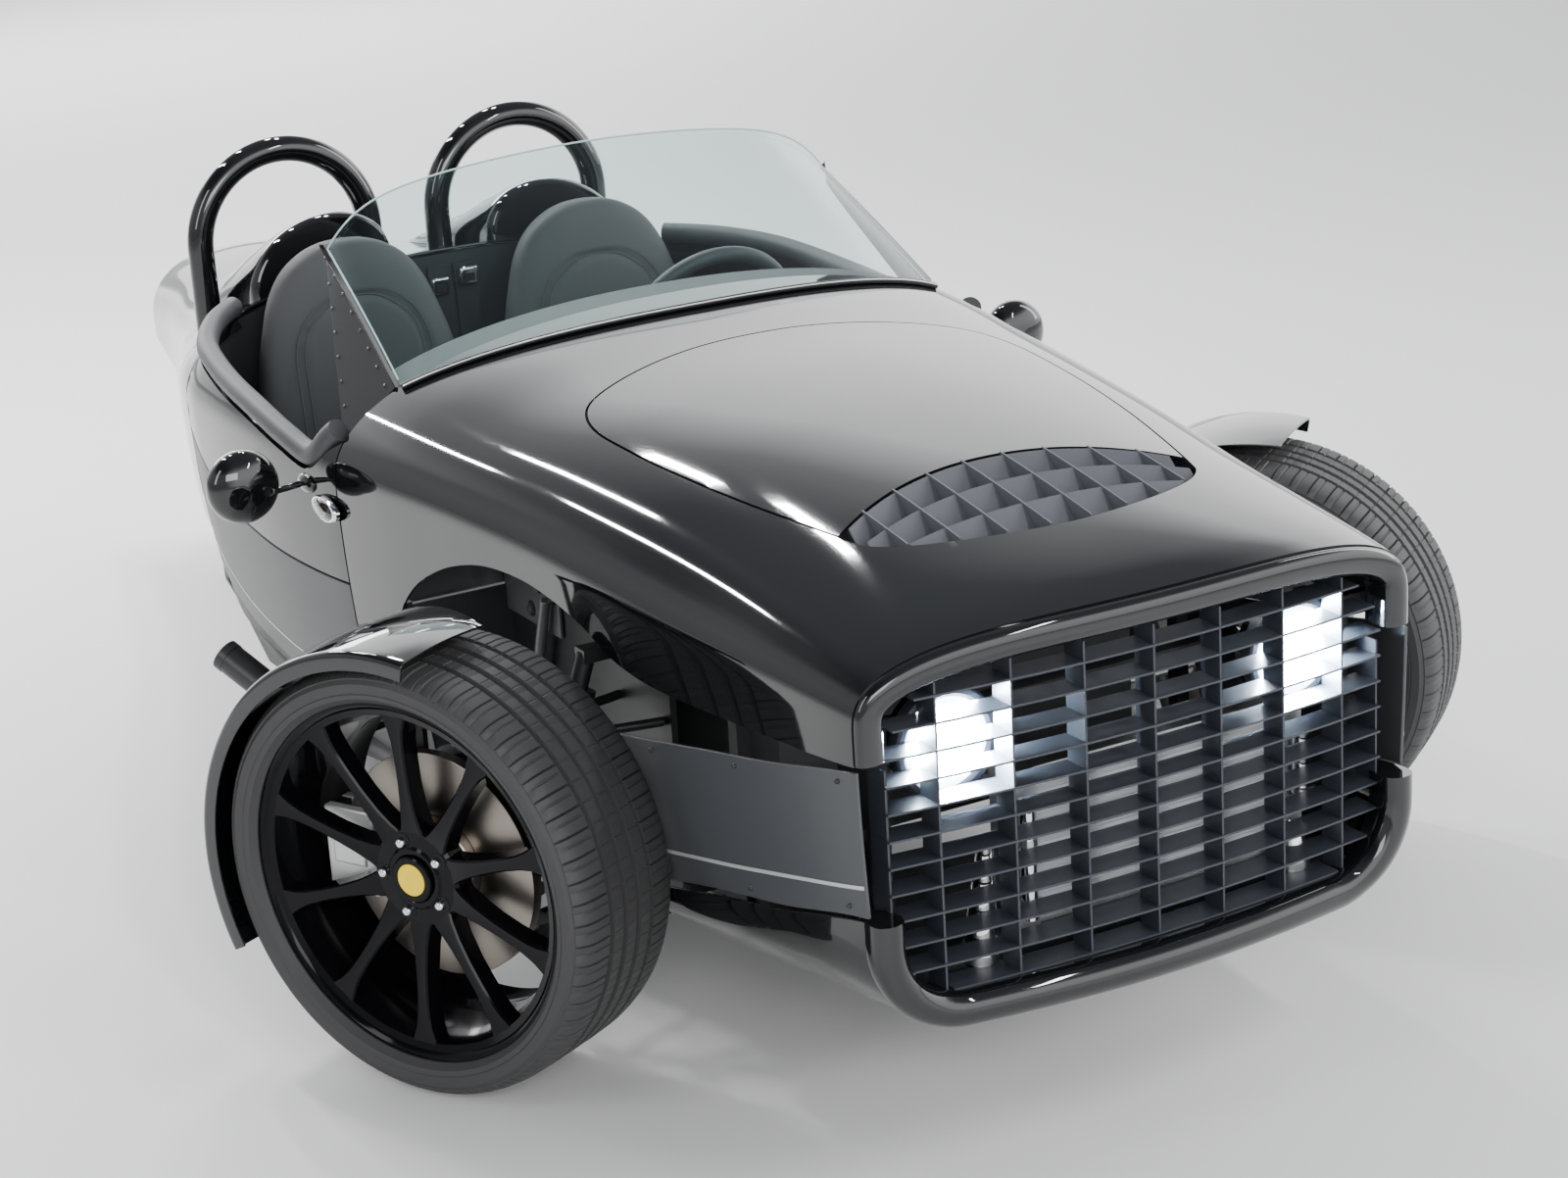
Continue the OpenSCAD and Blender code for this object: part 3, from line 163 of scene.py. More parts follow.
LOOKS = [
    (GLOSS, "nose_shell chin body_side_left body_side_right tail_shell seat_fairings roll_hoops mirrors"),
    (GLOSS, "hood_panel fender_left fender_right"), (SATIN, "side_panels sills"), (GRILLE, "main_grille"),
    (FRAME, "front_frame steering_column suspension rear_frame knuckle_left knuckle_right"),
    (PLASTIC, "floor_tub bulkhead screen_posts dashboard"), (VINYL, "cockpit_rim steering_wheel"),
    (CHROME, "headlamps"), (ALUMINIUM, "radiator"), (CAST, "engine_block"), (GLASS, "windscreen"),
    (SEAT, "seat_left seat_right"), (SMOKE, "marker_lamps"), (EXHAUST, "exhaust"), (STEEL, "drive_shafts"),
    (LENS_RED, "tail_lamps"), (VENT, "hood_vent"), (WHEEL, "rim_left rim_right rear_rim"),
    (RUBBER, "tyre_left tyre_right rear_tyre"), (DISC, "disc_left disc_right"),
]
for look, names in LOOKS:
    for node_name in names.split():
        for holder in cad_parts[node_name].material_slots:
            holder.material = look

# The body's outer surface: station, half width, crown, crease, tuck, power
BODY = [
    (-745, 428, 738, 634, 12, 3.2), (-660, 446, 768, 644, 14, 2.7), (-520, 463, 800, 654, 18, 2.4),
    (-330, 483, 834, 664, 20, 2.25), (-100, 510, 863, 688, 22, 2.2), (100, 534, 880, 704, 24, 2.2),
    (320, 566, 893, 714, 26, 2.2), (480, 590, 906, 714, 28, 2.2), (640, 608, 918, 712, 32, 2.2),
    (900, 620, 940, 708, 40, 2.2), (1200, 606, 930, 700, 44, 2.2), (1340, 580, 892, 688, 44, 2.2),
    (1480, 540, 842, 670, 42, 2.2), (1700, 462, 800, 640, 36, 2.2), (1900, 384, 770, 610, 30, 2.2),
    (2100, 318, 746, 588, 26, 2.2), (2300, 264, 724, 568, 22, 2.2), (2500, 216, 692, 544, 18, 2.2),
    (2780, 160, 630, 508, 14, 2.2),
]
TUCK_BASE = 320.0


def smooth(t, x, c=1):
    """Column c of a table at x, with smooth slopes."""
    i = 0
    while i < len(t) - 2 and x >= t[i + 1][0]:
        i += 1

    def slope(k):
        a, b = max(k - 1, 0), min(k + 1, len(t) - 1)
        return (t[b][c] - t[a][c]) / (t[b][0] - t[a][0])

    h = t[i + 1][0] - t[i][0]
    s = (x - t[i][0]) / h
    return (t[i][c] * (2 * s**3 - 3 * s**2 + 1) + slope(i) * h * (s**3 - 2 * s**2 + s)
            + t[i + 1][c] * (3 * s**2 - 2 * s**3) + slope(i + 1) * h * (s**3 - s**2))


def row_at(y):
    return [smooth(BODY, y, c) for c in range(1, 6)]


def body_x(y, z):
    w, top, c, tuck, n = row_at(y)
    if z >= c:
        return w * max(0, 1 - min(1, (z - c) / (top - c)) ** n) ** (1 / n)
    return w - tuck * ((c - z) / (c - TUCK_BASE)) ** 1.8


def body_z(y, x):
    w, top, c, tuck, n = row_at(y)
    return c + (top - c) * max(0, 1 - min(1, abs(x) / w) ** n) ** (1 / n)


def upper(y, v):
    """Point over the crease, v from -1 to 1 across the body."""
    w, top, c, tuck, n = row_at(y)
    a = radians(abs(v) * 90)
    x = w * sin(a) ** (2 / n)
    return (copysign(x, v), y, c + (top - c) * max(0, cos(a)) ** (2 / n))


def wall_pt(y, top, low, share, out=0):
    """Point on the body's side, a share of the way down from one height to another."""
    z = top + (low - top) * share
    return (body_x(y, z) + out, y, z)


def bow(x):
    """How far the nose falls back at a distance from the centre plane."""
    return 196e-6 * x**2 - 121e-12 * x**4


def at_axle(p):
    return p * MM + np.array([0, AXLE_Y * MM, 0])


def corner(side):
    """Placement in the frame of a steered knuckle, x outwards from the kingpin."""
    def place(p):
        out, a = side * p[..., 0], STEER[side]
        x = out * cos(a) - p[..., 1] * sin(a) + side * KINGPIN_X
        y = out * sin(a) + p[..., 1] * cos(a)
        return at_axle(np.stack([x, y, p[..., 2]], -1))
    return place


def wheel_place(side):
    inner = corner(side)
    return lambda p: inner(p + np.array([HUB_OFFSET, 0, FRONT_R]))


def rear_place(p):
    return at_axle(p + np.array([0, WHEELBASE, REAR_R]))


HUB = np.array([248.0, 948.0, 742.0])
TILT = radians(114)


def at_hub(p):
    y = p[..., 1] * cos(TILT) - p[..., 2] * sin(TILT)
    z = p[..., 1] * sin(TILT) + p[..., 2] * cos(TILT)
    return at_axle(np.stack([p[..., 0], y, z], -1) + HUB)


def solid(name, points, faces, place):
    """Mesh data with its doubles merged and its faces turned outwards."""
    data = bpy.data.meshes.new(name)
    data.from_pydata([tuple(p) for p in place(np.asarray(points, float))], [], faces)
    bm = bmesh.new()
    bm.from_mesh(data)
    bmesh.ops.remove_doubles(bm, verts=bm.verts, dist=1e-6)
    bmesh.ops.recalc_face_normals(bm, faces=bm.faces)
    bm.to_mesh(data)
    bm.free()
    return data


def put(name, data):
    ob = bpy.data.objects.new(name, data)
    bpy.context.scene.collection.objects.link(ob)
    return ob


def finish_look(data, look, angle):
    data.materials.clear()
    data.materials.append(look)
    data.polygons.foreach_set("use_smooth", [True] * len(data.polygons))
    data.set_sharp_from_angle(angle=radians(angle))


def mesh(name, points, faces, look, body="chassis", place=at_axle, angle=35, bevel=0.0, slot=None, node=None):
    """New piece that rides on a body and may stand for a CAD node."""
    data = solid(name, points, faces, place)
    finish_look(data, look, angle)
    ob = put(name, data)
    if bevel:
        mod = ob.modifiers.new("edge", "BEVEL")
        mod.width = bevel * MM
        mod.segments = 2
        mod.limit_method = "ANGLE"
        mod.angle_limit = radians(50)
    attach(ob, body)
    slot or SLOTS[look.name]
    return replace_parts(ob, node) if node else ob


def grid_faces(nu, nv, wrap_u=False, wrap_v=False, start=0):
    faces = []
    for i in range(nu if wrap_u else nu - 1):
        for j in range(nv if wrap_v else nv - 1):
            a, b = start + i * nv + j, start + (i + 1) % nu * nv + j
            c, d = start + (i + 1) % nu * nv + (j + 1) % nv, start + i * nv + (j + 1) % nv
            faces.append((a, b, c, d))
    return faces


def lid_faces(nu, nv):
    """Faces of a closed tube of nu rings with nv points each, with both ends shut."""
    return grid_faces(nu, nv, False, True) + [tuple(range(nv)), tuple(range((nu - 1) * nv, nu * nv))]


def skin(name, f, us, vs, thick, look, body="chassis", sunk=0.0, **more):
    """Sheet of one thickness under the surface f(u, v)."""
    P = np.array([[f(u, v) for v in vs] for u in us], float)
    du = np.gradient(P, axis=0)
    dv = np.gradient(P, axis=1)
    n = np.cross(dv, du)
    n /= np.linalg.norm(n, axis=2, keepdims=True) + 1e-12
    outer = (P - n * sunk).reshape(-1, 3)
    inner = (P - n * (sunk + thick)).reshape(-1, 3)
    nu, nv = len(us), len(vs)
    m = nu * nv
    faces = grid_faces(nu, nv) + [tuple(reversed(q)) for q in grid_faces(nu, nv, start=m)]
    ring = ([i * nv for i in range(nu)] + [(nu - 1) * nv + j for j in range(1, nv)]
            + [i * nv + nv - 1 for i in range(nu - 2, -1, -1)] + [j for j in range(nv - 2, 0, -1)])
    for k, a in enumerate(ring):
        b = ring[(k + 1) % len(ring)]
        faces.append((a, b, m + b, m + a))
    return mesh(name, np.vstack([outer, inner]), faces, look, body, **more)


def both(name, f, us, vs, thick, look, node=None, **more):
    """The sheet and its mirror image as one piece."""
    return join([skin(name, (lambda u, v, s=s: mirror(f(u, v), s)), us, vs[::s], thick, look, **more)
                 for s in (1, -1)], name, node)


def mirror(p, s):
    return (s * p[0], p[1], p[2])


def join(parts, name=None, node=None):
    """One piece from several, which may get its own name and stand for a CAD node."""
    first = parts[0]
    bm = bmesh.new()
    for ob in parts:
        bm.from_mesh(ob.data)
    bm.to_mesh(first.data)
    bm.free()
    for ob in parts[1:]:
        bpy.data.objects.remove(ob)
    if name:
        first.name = name
    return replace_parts(first, node) if node else first


def tube(name, path, r, look, body="chassis", sides=16, closed=False, **more):
    """Round bar through points."""
    path = np.asarray(path, float)
    n = len(path)
    t = np.roll(path, -1, 0) - np.roll(path, 1, 0) if closed else np.gradient(path, axis=0)
    t /= np.linalg.norm(t, axis=1, keepdims=True)
    up = np.array([0, 0, 1.0]) if abs(t[0][2]) < 0.9 else np.array([0, 1.0, 0])
    e = np.cross(t[0], up)
    e /= np.linalg.norm(e)
    pts = []
    for i in range(n):
        e = e - t[i] * np.dot(e, t[i])
        e /= np.linalg.norm(e)
        g = np.cross(t[i], e)
        for k in range(sides):
            a = 2 * pi * k / sides
            pts.append(path[i] + r * (e * cos(a) + g * sin(a)))
    faces = grid_faces(n, sides, True, True) if closed else lid_faces(n, sides)
    return mesh(name, pts, faces, look, body, **more)


def curve(points, n=60, closed=False):
    """Smooth path through points."""
    p = np.asarray(points, float)
    if closed:
        p = np.vstack([p[-1], p, p[0], p[1]])
    else:
        p = np.vstack([2 * p[0] - p[1], p, 2 * p[-1] - p[-2]])
    k = len(p) - 3
    out = []
    for s in span(0, k, n, endpoint=not closed):
        i = min(int(s), k - 1)
        f = s - i
        a, b, c, d = p[i:i + 4]
        out.append(0.5 * (2 * b + (c - a) * f + (2 * a - 5 * b + 4 * c - d) * f**2
                          + (3 * b - a - 3 * c + d) * f**3))
    return np.array(out)


def lathe(name, profile, look, place, body="chassis", n=128, wobble=None, caps=False, **more):
    """Turned piece about local x: profile of (x, r) points, which is open with caps."""
    pts = []
    angles = wobble[0] if wobble else span(0, 2 * pi, n, endpoint=False)
    for k, a in enumerate(angles):
        for j, (x, r) in enumerate(profile):
            rr = r - (wobble[1](k, j) if wobble else 0)
            pts.append((x, rr * sin(a), rr * cos(a)))
    faces = grid_faces(len(angles), len(profile), True, not caps)
    return mesh(name, pts, faces, look, body, place=place, **more)


def block(name, lo, hi, look, body="chassis", turn=None, bevel=2.0, **more):
    lo, hi = np.array(lo, float), np.array(hi, float)
    c = np.array([[x, y, z] for x in (lo[0], hi[0]) for y in (lo[1], hi[1]) for z in (lo[2], hi[2])])
    if turn is not None:
        mid = (lo + hi) / 2
        c = (c - mid) @ np.array(turn.to_3x3()).T + mid
    f = [(0, 1, 3, 2), (4, 6, 7, 5), (0, 4, 5, 1), (2, 3, 7, 6), (0, 2, 6, 4), (1, 5, 7, 3)]
    return mesh(name, c, f, look, body, bevel=bevel, **more)


def prism(outline):
    """Upright cutter with an outline in plan."""
    pts = [(x, y, z) for z in (650, 1050) for x, y in outline]
    return put("cutter", solid("cutter", pts, lid_faces(2, len(outline)), at_axle))


def carve(ob, cutter, how):
    """Applies a boolean ahead of the other modifiers and removes the cutter."""
    kept = list(ob.modifiers)
    mod = ob.modifiers.new("cut", "BOOLEAN")
    mod.object = cutter
    mod.operation = how
    mod.solver = "EXACT"
    ob.modifiers.move(len(ob.modifiers) - 1, 0)
    for m in kept:
        m.show_viewport = False
    bpy.context.view_layer.update()
    data = bpy.data.meshes.new_from_object(ob.evaluated_get(bpy.context.evaluated_depsgraph_get()))
    ob.modifiers.remove(mod)
    look = ob.data.materials[0]
    ob.data = data
    finish_look(data, look, 35)
    for m in kept:
        m.show_viewport = True
    bpy.data.objects.remove(cutter)
    return ob


# Pale floor, and a room whose light falls off upwards and to the left, as the paint's reflections show
ROOM = 30
floor = bpy.data.meshes.new("floor")
floor.from_pydata([(-ROOM, -ROOM, 0), (ROOM, -ROOM, 0), (ROOM, ROOM, 0), (-ROOM, ROOM, 0)], [], [(0, 1, 2, 3)])
floor.materials.append(paint("pale_floor", None, (0.86, 0.86, 0.85), 0.6))
put("floor", floor)

SKY = [(0.0, 0.72, 0.72, 0.73), (0.28, 0.95, 0.95, 0.96), (0.49, 0.88, 0.885, 0.90),
       (0.59, 0.30, 0.305, 0.315), (0.70, 0.11, 0.115, 0.125), (1.0, 0.08, 0.085, 0.095)]
LEFT_SIDE = [(0.24, 0.24, 0.24, 0.25), (0.44, 1, 1, 1)]


def ramp(tree, stops):
    """Colour ramp from (position, red, green, blue) stops."""
    node = new_node(tree, "ValToRGB")
    ends = node.color_ramp.elements
    for end, (at, *shade) in zip(ends, (stops[0], stops[-1])):
        end.position = at
        end.color = (*shade, 1)
    for at, *shade in stops[1:-1]:
        ends.new(at).color = (*shade, 1)
    return node


world = bpy.data.worlds.new("studio")
bpy.context.scene.world = world
world.use_nodes = True
tree = world.node_tree
back = tree.nodes["Background"]
back.inputs["Strength"].default_value = 3.1
split = new_node(tree, "SeparateXYZ")
half = new_node(tree, "Math", i1=0.5, i2=0.5)
half.operation = "MULTIPLY_ADD"
height, across = ramp(tree, SKY), ramp(tree, LEFT_SIDE)
shade_mix = new_node(tree, "MixRGB", Fac=1.0)
shade_mix.blend_type = "MULTIPLY"
wire(tree, (new_node(tree, "TexCoord"), "Generated", split, "Vector"), (split, "Z", height, "Fac"),
     (split, "X", half, 0), (half, "Value", across, "Fac"), (height, "Color", shade_mix, "Color1"),
     (across, "Color", shade_mix, "Color2"), (shade_mix, "Color", back, "Color"))

LIGHTS = [
    # name, place, target or None for straight down, width, depth, power
    ("tube_a", (-1.5, 1.7, 3.5), None, 0.10, 0.8, 55),
    ("tube_b", (-1.5, 3.2, 3.5), None, 0.10, 1.3, 80),
    ("tube_c", (-0.7, 2.4, 3.8), None, 0.09, 1.1, 60),
    ("tube_d", (0.55, 2.45, 3.8), None, 0.13, 0.6, 45),
    ("tube_e", (0.78, 1.65, 3.8), None, 0.13, 0.5, 40),
    ("tube_f", (1.5, -4.2, 3.9), None, 0.12, 2.0, 80),
    ("left_panel", (4.8, -1.0, 3.0), (0, 0, 0.4), 1.0, 4.0, 80),
    ("right_panel", (-5.4, -1.4, 3.2), (0, 0, 0.4), 1.1, 3.4, 70),
    ("front_fill", (-3.0, -7.5, 3.6), (0, -0.6, 0.5), 4.0, 2.2, 190),
    ("back_wash", (1.5, 9.5, 3.2), (1.5, 8.0, 0), 8.0, 1.6, 380),
]


def lamp(name, place, target, shape, size, power, up="Y"):
    light = bpy.data.lights.new(name, "AREA")
    light.shape = shape
    light.size = size
    light.energy = power
    ob = put(name, light)
    ob.location = place
    ob.rotation_euler = (Vector(target) - Vector(place)).to_track_quat("-Z", up).to_euler()
    return light


for name, place, target, width, depth, watts in LIGHTS:
    lamp(name, place, target or (*place[:2], 0), "RECTANGLE", width, watts).size_y = depth

# Camera solved from the photograph
YAW, PITCH, ROLL = (radians(a) for a in (28.78, 18.30, -3.40))
EYE = Vector((-2.311, -3.933 + AXLE_Y * MM, 2.079))
ahead = Vector((sin(YAW) * cos(PITCH), cos(YAW) * cos(PITCH), -sin(PITCH)))
level = Vector((cos(YAW), -sin(YAW), 0))
upright = level.cross(ahead)
right = cos(ROLL) * level + sin(ROLL) * upright
up = -sin(ROLL) * level + cos(ROLL) * upright
eye = bpy.data.cameras.new("camera")
eye.sensor_width = 36
eye.sensor_fit = "HORIZONTAL"
eye.lens = 74.25
eye.clip_end = 200
eye_ob = put("camera", eye)
eye_ob.matrix_world = Matrix.Translation(EYE) @ Matrix((right, up, -ahead)).transposed().to_4x4()
bpy.context.scene.camera = eye_ob

# Bonnet outline in plan
HOOD = [(-532, 0), (-524, 90), (-504, 170), (-476, 230), (-446, 264), (-420, 276), (-330, 300),
        (-200, 330), (-50, 354), (60, 364), (140, 366), (200, 352), (240, 322), (272, 262), (300, 180),
        (318, 90), (323, 0)]


def hood_outline(grow):
    pts = [(x, y) for y, x in HOOD] + [(-x, y) for y, x in HOOD[-2:0:-1]]
    p = curve([(x, y, 0) for x, y in pts], 160, closed=True)[:, :2]
    t = np.roll(p, -1, 0) - np.roll(p, 1, 0)
    n = np.stack([t[:, 1], -t[:, 0]], 1) / np.linalg.norm(t, axis=1)[:, None]
    return [tuple(q) for q in p + n * grow]


def vent_rear(x):
    return -312 - 1.05e-3 * x**2


NOSE_EDGE = [(-745, 604), (-660, 598), (-500, 592), (-254, 588), (-150, 602), (-60, 640), (50, 666),
             (150, 670), (230, 658), (320, 626), (400, 574), (455, 500), (482, 400), (498, 330), (600, 322)]
NOSE_FRONT = -725.0
NOSE_ARC = 0.8


def nose_pt(u, v):
    s = min(1, abs(v) / NOSE_ARC)
    y0 = NOSE_FRONT + bow(437 * sin(radians(s * 90)) ** 0.7)
    y = y0 + (DOOR_SEAM - GAP / 2 - y0) * u
    if abs(v) <= NOSE_ARC:
        return upper(y, copysign(s, v))
    k = (abs(v) - NOSE_ARC) / (1 - NOSE_ARC)
    return mirror(wall_pt(y, smooth(BODY, y, 3), smooth(NOSE_EDGE, y), k), copysign(1, v))


nose_us = np.concatenate([span(0.008, 0.9, 70), span(0.905, 1, 14)])
nose = skin("nose", nose_pt, nose_us, span(-1, 1, 141), SHELL_T, GLOSS, bevel=1.2, node="nose_shell")
carve(nose, prism(hood_outline(GAP / 2)), "DIFFERENCE")

# Brow: the rounded frame over the grille
BROW = [(0, 16), (0, 6), (2.5, 1), (8, -3), (20, -5), (32, -3), (37.5, 1), (40, 7), (40, 46), (36, 46),
        (34, 16)]


def swept_edge(name, f, vs, section):
    """Section swept along the front edge f(v); section is (depth inwards, depth back)."""
    P = np.array([f(v) for v in vs], float)
    t = np.gradient(P, axis=0)
    t[:, 1] = 0
    t /= np.linalg.norm(t, axis=1, keepdims=True)
    inward = np.stack([t[:, 2], np.zeros(len(vs)), -t[:, 0]], 1)
    pts = [P[i] + inward[i] * d + np.array([0, e, 0]) for i in range(len(vs)) for d, e in section]
    return mesh(name, pts, lid_faces(len(vs), len(section)), GLOSS, angle=40)


swept_edge("brow", lambda v: nose_pt(0, v), span(-1, 1, 121), BROW)

hood = skin("hood", upper, span(-560, 340, 70), span(-0.72, 0.72, 90), SHELL_T - 0.8, GLOSS, "hood", bevel=1.0,
            node="hood_panel")
carve(hood, prism(hood_outline(-GAP / 2)), "INTERSECT")
front_part = [(x, vent_rear(x)) for x in span(420, -420, 60)] + [(-420, -800), (420, -800)]
carve(hood, prism(front_part), "DIFFERENCE")


def vent_front(x):
    """Front end of the vent at a distance from the centre plane."""
    rows = [(r[1], r[0]) for r in HOOD[:7]]
    a = abs(x)
    for (x0, y0), (x1, y1) in zip(rows, rows[1:]):
        if a <= x1:
            return y0 + (y1 - y0) * (a - x0) / (x1 - x0) - 4
    return rows[-1][1]


VENT_PITCH, VENT_DEPTH = 64, 36
LOUVERS = [(0.03, 1.0), (0.36, 1.0), (0.69, 0.86)]
vent_parts = []
for x in ((k - 3.5) * VENT_PITCH for k in range(8)):
    y0, y1 = vent_front(x), vent_rear(x) + 2
    if y1 - y0 < 25:
        continue
    pts = [(x + dx, y, body_z(y, x) + dz) for y in span(y0, y1, 14)
           for dx, dz in ((-1.4, 1), (1.4, 1), (1.4, -VENT_DEPTH), (-1.4, -VENT_DEPTH))]
    blade = mesh("vent_blade", pts, lid_faces(14, 4), VENT, "hood")
    vent_parts.append(carve(blade, prism(hood_outline(-2.5)), "INTERSECT"))
for share, half in LOUVERS:
    def louver(u, v, share=share):
        x = v * 262
        depth = vent_rear(x) - vent_front(0) - 10
        y = vent_rear(x) - share * depth - 44 * u
        return (x, y, body_z(y, x) - 2 - 34 * u)
    slat = skin("louver", louver, span(0, 1, 5), span(-half, half, 41), 2.4, VENT, "hood")
    vent_parts.append(carve(slat, prism(hood_outline(-2.5)), "INTERSECT"))
join(vent_parts, "vent_grid", "hood_vent")

# Bonnet hinges: arms and pins on the bonnet, lugs on the nose shell
HINGE_ARM = [(400, 868), (384, 812), (326, 756), (284, 776), (272, 840), (272, 881)]
arms, lugs = [], []
for x in (150, -150):
    arms.append(tube("hinge_arm", curve([(x, y, z) for y, z in HINGE_ARM], 40), 5.6, FRAME, "hood", sides=14))
    arms.append(tube("hinge_pin", [(x - 18, 400, 868), (x + 18, 400, 868)], 8, STEEL, "hood", sides=28))
    lugs += [block("hinge_lug", (c - 3, 388, 878), (c + 3, 412, 891), FRAME, bevel=1) for c in (x - 14, x + 14)]
join(arms, "hinge_arms")
join(lugs, "hinge_lugs")

# Chin and lip
CHIN_EDGE = [(-745, 392), (-667, 388), (-500, 348), (-340, 316), (-180, 282)]
CHIN_FRONT, CHIN_BACK = -738.0, -190.0
CHIN_R = 130.0


def chin_pt(u, v):
    y0 = CHIN_FRONT + bow(430 * min(1, abs(v) / 0.62))
    y = y0 + (CHIN_BACK - y0) * u
    top = smooth(CHIN_EDGE, y) - GAP
    w = body_x(y, 360) + 2
    side = max(0, (abs(v) - 0.82) / 0.18)
    turn = min(1, max(0, (abs(v) - 0.55) / 0.27))
    low = 222 - 26 * sin(radians(u * 90))
    rise = min(CHIN_R, top - low - 10)
    if abs(v) < 0.55:
        return (v / 0.55 * (w - CHIN_R), y, low)
    if side > 0:
        return (copysign(w, v), y, low + rise + (top - low - rise) * side)
    a = radians(turn * 90)
    return (copysign(w - CHIN_R + CHIN_R * sin(a), v), y, low + rise * (1 - cos(a)))


skin("chin_tray", lambda u, v: chin_pt(u, -v), span(0.02, 1, 40), span(-1, 1, 121), SHELL_T, GLOSS, bevel=1.2,
     node="chin")
LIP = [(-4, 40), (-7, 24), (-8, 10), (-6, 1), (-1, -5), (8, -9), (18, -10), (28, -7), (35, -1), (39, 8),
       (40, 16), (38, 40), (31, 44), (10, 60), (2, 60)]
swept_edge("chin_lip", lambda v: chin_pt(0, v), span(1, -1, 121), LIP)

PANEL = [(-745, 392, 596), (-667, 390, 590), (-500, 350, 556), (-340, 320, 528), (-180, 286, 500),
         (-66, 268, 484)]
PANEL_FRONT = -686


def panel_pt(u, v):
    y = PANEL_FRONT + (-84 - 96 * v - PANEL_FRONT) * u
    return wall_pt(y, smooth(PANEL, y, 2), smooth(PANEL, y, 1), v, 1)


both("front_side_panels", panel_pt, span(0, 1, 30), span(0, 1, 14), SHELL_T, SATIN, bevel=1.0,
     node="side_panels")

# Cabin sides, sills, cockpit edge
RIM = [(560, 786), (600, 768), (660, 722), (700, 712), (780, 724), (900, 742), (1060, 757), (1190, 770),
       (1330, 782), (1480, 786)]
SEAM = [(560, 548), (700, 541), (850, 541), (980, 550), (1080, 566), (1160, 590), (1230, 626), (1290, 664),
        (1340, 690)]
SILL = [(560, 322), (800, 316), (920, 320), (1040, 330), (1140, 346), (1230, 378), (1290, 420), (1340, 476)]
SILL_END = 1276.0
SIDE_LOW = 470.0


def side_edge(y):
    return smooth(SEAM, max(y, SEAM[0][0])) + GAP / 2 if y <= SILL_END else SIDE_LOW


def side_pt(u, v):
    return wall_pt(u, smooth(RIM, u), side_edge(u), v)


side_rows = np.concatenate([span(DOOR_SEAM + 2, SILL_END, 60), span(SILL_END + 4, 1478, 16)])
for s, word in SIDES.items():
    skin("cabin_side_" + word, (lambda u, v, s=s: mirror(side_pt(u, v), s)), side_rows, span(0, 1, 26)[::s],
         WALL_T, SIDE_PAINT, bevel=1.5, node="body_side_" + word)


def sill_pt(u, v):
    return wall_pt(u, smooth(SEAM, u) - GAP / 2, smooth(SILL, u), v)


both("sill_panels", sill_pt, span(DOOR_SEAM + 2, SILL_END, 60), span(0, 1, 18), SHELL_T + 3, SILL_PAINT,
     bevel=1.2, node="sills")


def rim_top(y):
    lean = (smooth(RIM, y + 20) - smooth(RIM, y - 20)) / 40
    return smooth(RIM, y) + 21 * sqrt(1 + lean**2)


rim_path = [(body_x(y, smooth(RIM, y)) - WALL_T / 2 - 2, y, rim_top(y)) for y in span(611, 1450, 90)]
join([tube("cockpit_pad", [mirror(p, s) for p in rim_path], 19, VINYL, sides=20) for s in (1, -1)],
     node="cockpit_rim")

# Tail
TAIL_EDGE = [(1470, 470), (1700, 450), (1900, 436), (2050, 442), (2250, 450), (2500, 458), (2780, 474)]
TAIL_ARC = 0.72


def tail_pt(u, v):
    y = TAIL_START + (TAIL_END - TAIL_START) * u
    if abs(v) <= TAIL_ARC:
        return upper(y, v / TAIL_ARC)
    k = (abs(v) - TAIL_ARC) / (1 - TAIL_ARC)
    return mirror(wall_pt(y, smooth(BODY, y, 3), smooth(TAIL_EDGE, y), k), copysign(1, v))


skin("tail", tail_pt, span(0, 1, 80), span(-1, 1, 121), SHELL_T, GLOSS, bevel=1.2, node="tail_shell")
ring = [tail_pt(1, v) for v in span(-1, 1, 61)]
back_pts = [(x * 0.985, y - inset, z - 3) for inset in (4, 10) for x, y, z in ring]
mesh("tail_back", back_pts, lid_faces(2, len(ring)), GLOSS)

HUMP = [(1496, 158, 108), (1540, 172, 112), (1620, 176, 98), (1700, 158, 76), (1800, 126, 52),
        (1900, 88, 28), (1990, 46, 10)]
humps = []
for s in (1, -1):
    pts = []
    ys = np.concatenate([[1500, 1503, 1508], span(1516, 1990, 50)])
    for y in ys:
        w = min(smooth(HUMP, y, 1), 138)
        h = smooth(HUMP, y, 2)
        ease = 1 - max(0, (1516 - y) / 16) ** 2 * 0.08
        for a in span(pi, 0, 31):
            x = s * (HOOP_X - 0.2 * max(0, y - 1720)) + w * cos(a) * ease
            pts.append((x, y, body_z(y, x) - 2 + (h * sin(a) ** 0.8 + 2.6) * ease))
    humps.append(mesh("hump", pts, lid_faces(len(ys), 31), GLOSS))
join(humps, "seat_humps", "seat_fairings")


# Windscreen
def screen_pt(k, s):
    xb, yb = 486 * s, 484 + 84 * s**2
    base = np.array([xb, yb, body_z(yb, xb) + 6.4])
    drop = 52 * s**2 + 62 * abs(s) ** 9
    top = np.array([462 * s, 860 + 26 * s**2, 1121 - drop])
    p = base + (top - base) * k
    w = sin(radians(k * 180))
    return p + np.array([0, 22 * w * (1 - s**2) * 0.4 - 8 * w, 0])


